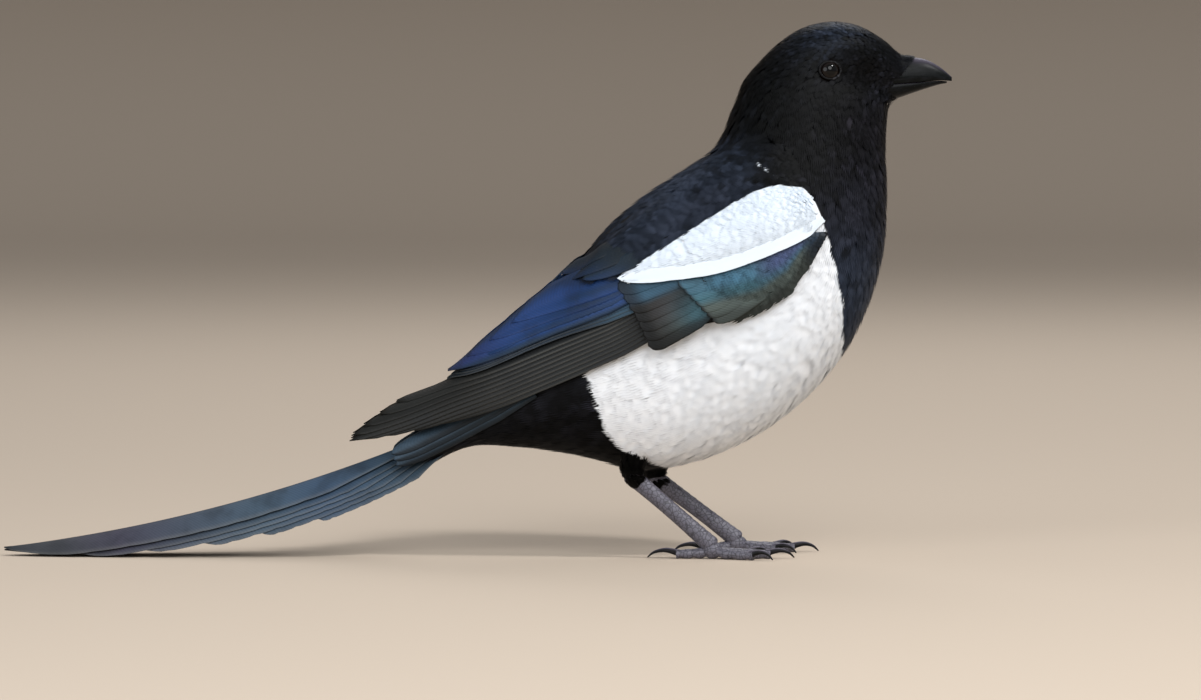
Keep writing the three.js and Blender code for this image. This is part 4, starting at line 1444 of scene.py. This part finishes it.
def onShoulder(a, b, at):
    low, high = shoulderEdges(a)
    onPatch = (b < high) & (b > np.interp(a, *lowestAt["root"])) & (a < 76)
    behind = np.interp(a, [58, 81, 98], [19, 18, 24])
    onMantle = (b >= high) & (b < ridgeAt(a) - 2.2) & ((a < 58) | (b > behind))
    return (onPatch | onMantle) & (rearEnd(b) - a > 4)


def shoulderLie(a, b, along, across):
    low, high = shoulderEdges(a)
    over = np.clip((2 * b - low - high) / (high - low), -1, 1)
    slopes = {k: np.interp(a, shoulderSlopes["a"], shoulderSlopes[k]) for k in ("low", "high", "ridge")}
    slope = np.where(over < 0, -over * slopes["low"], over * slopes["high"])
    slope = mix(slope, slopes["ridge"], np.clip((b - high) / (ridgeAt(a) - high), 0, 1) * (over > 0))
    return unit(along) + slope[:, None] * unit(across)


def makeShoulder(name, side, seed):
    rng = np.random.default_rng(seed)

    def surface(a, b):
        return wingPoint(a, b, side, shoulderHeight(a, b))

    def base(s, t):
        a = mix(-2.5, 97.0, s)
        low = np.interp(a, [-3, 4, 20, 36, 52, 68, 81, 97], [6.6, 3.1, 1.4, 2, 4.8, 9, 16, 24.2])
        high = np.interp(a, [-3, 4, 20, 40, 60, 82, 97], [12, 21, 27, 34, 39, 34, 25])
        b = mix(high, low, t)
        return wingPoint(a, b, side, mix(0.4, shoulderHeight(a, b) - 1.2, rimmed(s, t, 7)))

    backing = makeBacking(name + "_shoulder_base", 60, 26, base, "plumage_white", [name + "_scapulars"])
    setShare(backing, smooth(patchAt(placesOf(backing)), 0, 1.5))

    def size(a):
        return np.interp(a, [-4, 10, 40, 60, 95], [5, 8, 11, 11.5, 12.5])

    a, b = scatter(surface, (-3, 97), (0, 50), lambda a, b: size(a) * 0.2, rng, onShoulder)
    length = np.minimum(size(a), rearEnd(b) - a)
    width = size(a) * np.interp(ridgeAt(a) - b, [2, 8], [0.34, 0.5])
    sunk = -1.2 - 0.9 * shoulderHeight(a, b) * (1 - smooth(a, -2, 9))
    heights = (sunk, 0.25 + 0.4 * sunk * (1 - smooth(a, -3, 2)))
    shape = fanShape(7, 4)
    laid = layTufts(surface, a, b, shoulderLie, length, width, heights, shape, rng, wingOut(side),
                    shoulderLook)
    at = laid["points"]
    seenA, seenB = seenChart(at)
    short = np.clip(np.interp(seenA, *lowestAt["tip"]) - seenB, 0, 6) * (seenA < 79)
    at[..., 0] -= short * math.sin(wingChart["droop"])
    at[..., 2] += short * math.cos(wingChart["droop"])
    low, high = shoulderEdges(seenA)
    below = np.where(seenA < 80, np.clip((low + high) / 2 - seenB, -9, 3), -9)
    white = np.maximum(np.maximum(patchAt(at), below), np.minimum(fleckAt(at), 0))
    marks = plumageMarks(laid, white, rng, 0.25)
    # The patch's white takes the painted shade
    marks[..., 3] = mix(marks[..., 3], patchPaintedShade, marks[..., 0])
    root = np.stack([(a + 5) / 230, (b + 25) / 90], -1)
    joinTufts(name + "_shoulder", laid, shape, marks, root, plumage, "plumage_white")
    shape = vaneShape(30, 8)
    vanes = [wingVane(patchQuill(n), patchTint, n, side, shape, rng) for n in range(len(patchQuills))]
    for vane in vanes:
        vane["marks"][:, 0], vane["marks"][:, 3] = 1, patchPaintedShade
    piece = joinVanes(name + "_patch_vanes", vanes, shape, plumage, "plumage_white")
    calm(piece.data, np.concatenate([vane["level"] for vane in vanes]), 0.8)
    vanes = [wingVane(mantleQuill(n), mantleTint, n, side, shape, rng) for n in range(len(mantleQuills))]
    joinVanes(name + "_mantle_vanes", vanes, shape, gloss, "plumage_black")


for name, side in sides.items():
    makeWing(name, side, 31 + side)
    makeShoulder(name, side, 41 + side)
print("wings done")


# The tail: six vanes a side under one another, the middle pair on top

tailLook = {"tips": [1, 0.885, 0.755, 0.625, 0.495, 0.365], "layer": 0.94, "thick": 0.34}
tailColors = [  # from the root to the tip
    (0.0, (0.026, 0.044, 0.060)),
    (0.15, (0.034, 0.060, 0.090)),
    (0.3, (0.036, 0.064, 0.108)),
    (0.45, (0.048, 0.076, 0.108)),
    (0.6, (0.048, 0.062, 0.086)),
    (0.75, (0.048, 0.046, 0.068)),
    (0.88, (0.044, 0.046, 0.054)),
    (1.0, (0.024, 0.028, 0.032)),
]


def tailTint(s, across):
    stops = [stop for stop, _ in tailColors]
    color = np.stack([np.interp(s, stops, [c[k] for _, c in tailColors]) for k in range(3)], -1)
    # Painted shade on each vane's inner half, which lies under the vane above
    color = darkened(color, 0.75 * smooth(-across, 0.1, 0.6), 1)
    # Painted highlight along each vane's outer edge
    return mix(color, np.array(sheen["edge"]), 0.3 * smooth(across, 0.8, 1.0)[..., None])


def tailVane(side, n, shape, rng):
    quillAt, s, level = 0.45 - 0.03 * n, shape["s"], shape["level"]
    t = np.interp(shape["t"], [0, 0.5, 1], [0, quillAt, 1])
    layer = (0 if side < 0 else 1) if n == 0 else n + 1
    inner = 5.2 if n == 0 else -0.5
    at = tailLook["tips"][n] * s
    half = tailRow(at)[0]
    width = vaneWidth(s, 0.15, 0.5, rng)
    outer = np.minimum(half * (0.8 + 0.06 * n), half + 1.2) * width
    y = mix(side * outer, -side * inner * width, t)
    rim = quillCrossing(t, quillAt)
    ridge = 0.3 * np.exp(-(((t - quillAt) / 0.03) ** 2)) * (1 - 0.75 * s)
    thick = tailLook["thick"] * np.minimum(rim * 3 + 0.25, 1)
    high = -tailLook["layer"] * layer + 0.22 * rim + np.where(level > 0, thick / 2 + ridge, -thick / 2)
    points = tailPoint(at, y, high)
    points[:, 2] = np.maximum(points[:, 2], 0.04 + 0.02 * level)
    color = tailTint(at, 1 - 2 * t) * rng.uniform(0.88, 1.12)
    return {"points": points, "marks": np.column_stack([color, at * 187 + np.abs(y)])}


def tailSideQuill(n):  # the outer quills beside the root of the tail, in the wing's chart
    return {
        "start": [130, -7.5 - 2.2 * n], "middle": [160, -10.2 - 2.2 * n], "tip": [193, -11 - 2.2 * n],
        "width": 5.6, "lift": [1.5 - 0.25 * n, 1.5 - 0.25 * n], "tilt": 0.15, "point": 0.2,
    }


def tailSideTint(s, t, a, b, n):
    return tailTint(0.04 + 0.1 * s, 1 - 2 * t)


def makeTail():
    rng = np.random.default_rng(5)
    shape = vaneShape(52, 10)
    vanes = [tailVane(side, n, shape, rng) for n in range(6) for side in (-1, 1)]
    for n in range(3):
        for side in (-1, 1):
            vanes.append(wingVane(tailSideQuill(n), tailSideTint, n, side, shape, rng, coatRibs))
    joinVanes("tail_vanes", vanes, shape, tailGloss, "tail_feathers", ["tail"])


makeTail()
print("tail done")


# The bill, its upper and lower halves, and the bristles over its root

upperRows = [  # x, top, bottom and half width
    [160, 199, 188.6, 8.2],
    [168, 199.6, 189.2, 7.2],
    [174, 199.5, 189.6, 6],
    [180, 198.4, 190.1, 4.7],
    [185.5, 195.4, 190.4, 3.2],
    [190, 191.6, 190, 1.2],
]
lowerRows = [
    [160, 188.1, 181.8, 8],
    [168, 188.7, 183, 6.8],
    [174, 189.1, 185, 5.5],
    [180, 189.6, 187, 4],
    [185, 190, 188.5, 2.6],
    [188, 189.8, 189.1, 1.2],
]


def makeBillHalf(name, rows, upward):
    def place(s, t):
        x, top, bottom, half = np.moveaxis(between(rows, s * (len(rows) - 1)), -1, 0)
        turn = 2 * math.pi * t
        arch = np.where(np.sin(turn) > 0, np.abs(np.sin(turn)) ** 0.9, -0.04 * np.abs(np.sin(turn)))
        rise = arch * (top - bottom)
        y = half * spow(np.cos(turn), 0.85)
        return np.stack([x, y, bottom + rise if upward else top - rise], -1)

    bm = tube(44, 28, place)
    makePiece(name + "_horn", bm, horn, "horn", [name])


makeBillHalf("bill_upper", upperRows, True)
makeBillHalf("bill_lower", lowerRows, False)

bristleRibs = Ribbed([
    [153.6, 211.8, 170.2, 185, 12, 0.4],
    [162.4, 206.6, 170.8, 186, 9, 0.25],
    [169.2, 200.8, 171.2, 187, 6.6, 0.1],
    [172.5, 200.3, 173.5, 189.5, 6.2, 0],
    [176, 199.5, 176.5, 190, 5.6, 0],
])


def makeBristles():
    rng = np.random.default_rng(8)
    shape = fanShape(3, 4)
    look = dict(coatLook, sway=0.05, round=0.1, ragged=0.3, root=0.7, point=1.6, rise=1.2)

    def inside(p, q, at):
        return at[:, 2] > 188.5

    p, q = scatter(bristleRibs.at, (0, 3.4), (-2.6, 2.6), lambda p, q: 0.6 + 0 * p, rng, inside)
    at = bristleRibs.at(p, q)
    front = np.interp(at[:, 2], [188, 191, 194, 197, 201], [168.5, 169.8, 171.5, 173.8, 176])
    room = front + rng.normal(0, 0.5, len(p)) - at[:, 0]
    good = room > 1.2
    p, q = p[good], q[good]
    count = len(p)
    length = np.minimum(rng.uniform(5, 9, count), room[good])
    heights = (np.full(count, -0.5), rng.uniform(0.1, 0.6, count))
    laid = layTufts(bristleRibs.at, p, q, forward, length, np.full(count, 1.0), heights, shape, rng,
                    bristleRibs.outward, look)
    marks = plumageMarks(laid, np.full(laid["s"].shape, -9.0), rng, 0.1)
    root = np.stack([0.1 + p * 0.2, q * 0.15 + 0.5], -1)
    joinTufts("bristles", laid, shape, marks, root, plumage, "plumage_black")


makeBristles()
print("bill done")


# Legs, feet and claws

toes = [
    {"turn": -24, "length": 17, "claw": 8.6},
    {"turn": 0, "length": 23, "claw": 9.6},
    {"turn": 27, "length": 18, "claw": 8.6},
    {"turn": 184, "length": 14.5, "claw": 11.5},
]


def onGround(bm):
    for v in bm.verts:
        v.co.z = max(v.co.z, 0.00002)


def makeTarsus(name, start, end):
    middle = [mix(start[0], end[0], 0.5), start[1], mix(start[2], end[2], 0.5) + 0.4]
    path = [[start[0] - 1.2, start[1], start[2] + 1], middle, [end[0] + 0.6, end[1], end[2] - 0.2]]

    def radius(s, t):  # scutes down the front, and rounded ends
        front = np.maximum(np.sin(2 * math.pi * t), 0)
        step = (s * 15) % 1
        ends = np.sqrt(np.maximum(1 - np.maximum(np.abs(2 * s - 1) - 0.86, 0) ** 2 / 0.14**2, 0.01))
        return legSizes["shinRadius"] * (1 + 0.2 * (2 * s - 1) ** 2) * (1 + 0.055 * front * step) * ends

    bm = sectionTube(path, radius, 120, 20, legSizes["shinDepth"] / legSizes["shinRadius"])
    makePiece(name + "_tarsus", bm, scaled, "leg_skin", [name + "_shin"])


def toeRadius(s, t):
    above = np.maximum(np.sin(2 * math.pi * t), 0)
    below = np.maximum(-np.sin(2 * math.pi * t), 0)
    knuckles = 0.10 * np.cos(s * 6 * math.pi) * (0.4 + below)
    return legSizes["toeRadius"] * (1 - 0.16 * s) * (1 + knuckles + 0.06 * above * ((s * 11) % 1))


def makeFoot(name, side, pad):
    bm = bmesh.new()
    bmesh.ops.create_uvsphere(bm, u_segments=24, v_segments=16, radius=legSizes["padRadius"])
    for v in bm.verts:
        v.co = Vector(toScene(np.array([v.co.x * 1.15, v.co.y, v.co.z]) + pad - [0, 0, 1.2]))
    claws = []
    for toe in toes:
        heading = side * math.radians(toe["turn"])

        def on(share, high):  # a place along the toe, counted in its lengths
            reach = toe["length"] * share
            return [pad[0] + math.cos(heading) * reach, pad[1] + math.sin(heading) * reach, high]

        addPart(bm, sectionTube([on(0, 3), on(0.35, 2.3), on(0.7, 1.9), on(1, 1.8)], toeRadius, 66, 14))
        bow = toe["claw"] / toe["length"]
        path = [on(0.93, 2.3), on(1 + bow * 0.35, 3.4), on(1 + bow * 0.75, 2.6), on(1 + bow, 0.5)]
        claws.append(sectionTube(path, lambda s, t: mix(1.5, 0.22, s**0.8), 26, 14))
    onGround(bm)
    makePiece(name + "_toes", bm, scaled, "leg_skin", [name + "_foot"])
    for number, claw in enumerate(claws, 1):
        onGround(claw)
        makePiece(name + "_talon_" + str(number), claw, clawHorn, "horn", [name + "_claw_" + str(number)])


def makeThighTufts(name, ankle, rng):
    below = np.array(ankle) + [4.6, 0, -3.2]  # over the ankle and a little way down the shin
    path = np.array(thighPath(name) + [list(below)])

    def surface(p, q):
        return limbPoint(path, p, q, np.interp(p, [0, 0.33, 0.67, 1], [6.6, 5.6, 4.2, 3.1]))

    def outOf(p, q):
        return surface(p, q) - between(path, p * 3)

    p, q = scatter(surface, (0.15, 0.85), (-math.pi, math.pi), lambda p, q: 1.9 - 0.9 * p, rng)
    length = mix(9.0, 3.6, p)
    behind = np.maximum(np.sin(q), 0) * smooth(p, 0.3, 0.55) * (1 - smooth(p, 0.6, 0.75))
    heights = (np.full(len(p), -0.8), mix(0.6, 0.2, p) + 1.6 * behind)
    shape = fanShape(5, 4)
    laid = layTufts(surface, p, q, forward, length, length * 0.4, heights, shape, rng, outOf, coatLook)
    laid["level"] = unit(laid["level"] + [0, 0, -1.2])
    marks = plumageMarks(laid, whiteAt(laid["points"]) - 1.5, rng, 0.8)
    root = np.stack([p * 0.9 + 0.05, q / (2 * math.pi) * 0.9 + 0.5], -1)
    joinTufts(name + "_thigh_tufts", laid, shape, marks, root, plumage, "plumage_black")


def makeLeg(name, side, seed):
    y = side * legSizes["apart"]
    ankle, pad = ([x, y, z] for x, z in (legPlaces[name]["ankle"], legPlaces[name]["pad"]))
    makeTarsus(name, ankle, pad)
    makeFoot(name, side, pad)
    makeThighTufts(name, ankle, np.random.default_rng(seed))


for name, side in sides.items():
    makeLeg(name, side, 61 + side)
print("legs done")


# Ground, light and camera

stageLook = {
    "floor": (0.52, 0.435, 0.35),
    "backdropPaintedShade": (0.26, 0.20, 0.15),
    "reach": 9,
    "depth": 3.4,
    "sweep": 3.0,
    "wall": 4,
    "world": (0.70, 0.72, 0.75),
    "worldStrength": 0.63,
}
lights = {  # place, aim, size, power and colour
    "key": ((0.6, -1.8, 1.25), (0.05, 0, 0.1), 1.4, 26, (0.98, 0.99, 1.0)),
    "fill": ((-1.2, -1.7, 0.7), (0.0, 0, 0.08), 1.6, 20, (0.93, 0.965, 1.0)),
    "back": ((0.3, 1.6, 1.5), (0.0, 0, 0.12), 1.2, 12, (0.97, 0.98, 1.0)),
    "glint": ((1.18, -0.74, 1.615), (0.14, 0, 0.19), 0.28, 20, (1.0, 1.0, 1.0)),
}


def pulled(bm, edges, vec):  # pulls a strip of sheet out of a row of edges, and gives its new edges
    strip = bmesh.ops.extrude_edge_only(bm, edges=edges)["geom"]
    bmesh.ops.translate(bm, verts=[v for v in strip if isinstance(v, bmesh.types.BMVert)], vec=vec)
    return [e for e in strip if isinstance(e, bmesh.types.BMEdge)]


def makeStage():
    bm = bmesh.new()
    depth, sweep = stageLook["depth"], stageLook["sweep"]
    reach, wall = stageLook["reach"], stageLook["wall"]
    first = bm.edges.new([bm.verts.new((-reach, -reach, 0)), bm.verts.new((reach, -reach, 0))])
    last = pulled(bm, [first], (0, reach + depth, 0))
    centre, quarter = (0, depth, sweep), math.pi / 2
    bend = bmesh.ops.spin(bm, geom=last, cent=centre, axis=(1, 0, 0), angle=quarter, steps=40)
    pulled(bm, [e for e in bend["geom_last"] if isinstance(e, bmesh.types.BMEdge)], (0, 0, wall))
    mesh = toMesh("floor", bm)
    mesh.shade_smooth()
    floor = addObject("floor", mesh)
    paint = Paint("floor_paint")
    # The sweep turns darker as it rises: painted shade for the light falling off behind the bird
    high = paint.parts(paint.place())[2].ramp(0.0, 0.5)
    mesh.materials.append(paint.finish(
        Base_Color=paint.blend(high, stageLook["floor"], stageLook["backdropPaintedShade"]),
        Roughness=0.95,
        Specular_IOR_Level=0.1,
    ))


def addLight(name, place, aim, size, power, color):
    light = bpy.data.lights.new(name, "AREA")
    light.shape = "DISK"
    light.size = size
    light.energy = power
    light.color = color
    lamp = addObject(name, light)
    lamp.location = place
    lamp.rotation_euler = (Vector(aim) - Vector(place)).to_track_quat("-Z", "Y").to_euler()


def makeCamera():
    view = {"width": 0.4804, "middleX": 49.8 + shiftX, "middleZ": 82.4, "distance": 3.0, "sensor": 36}
    camera = bpy.data.cameras.new("camera")
    camera.sensor_width = view["sensor"]
    camera.lens = view["sensor"] * view["distance"] / view["width"]
    camera.clip_end = 100
    eye = addObject("camera", camera)
    aim = Vector((view["middleX"] * mm, 0, view["middleZ"] * mm))
    back = Vector((0, -math.cos(viewRise), math.sin(viewRise)))
    eye.location = aim + back * view["distance"]
    eye.rotation_euler = (-back).to_track_quat("-Z", "Y").to_euler()
    bpy.context.scene.camera = eye


makeStage()
for name, spec in lights.items():
    addLight(name, *spec)
world = bpy.data.worlds.new("studio")
world.use_nodes = True
background = world.node_tree.nodes["Background"]
background.inputs[0].default_value = (*stageLook["world"], 1)
background.inputs[1].default_value = stageLook["worldStrength"]
bpy.context.scene.world = world
makeCamera()
bpy.context.scene.view_settings.view_transform = "Standard"
print("stage done")
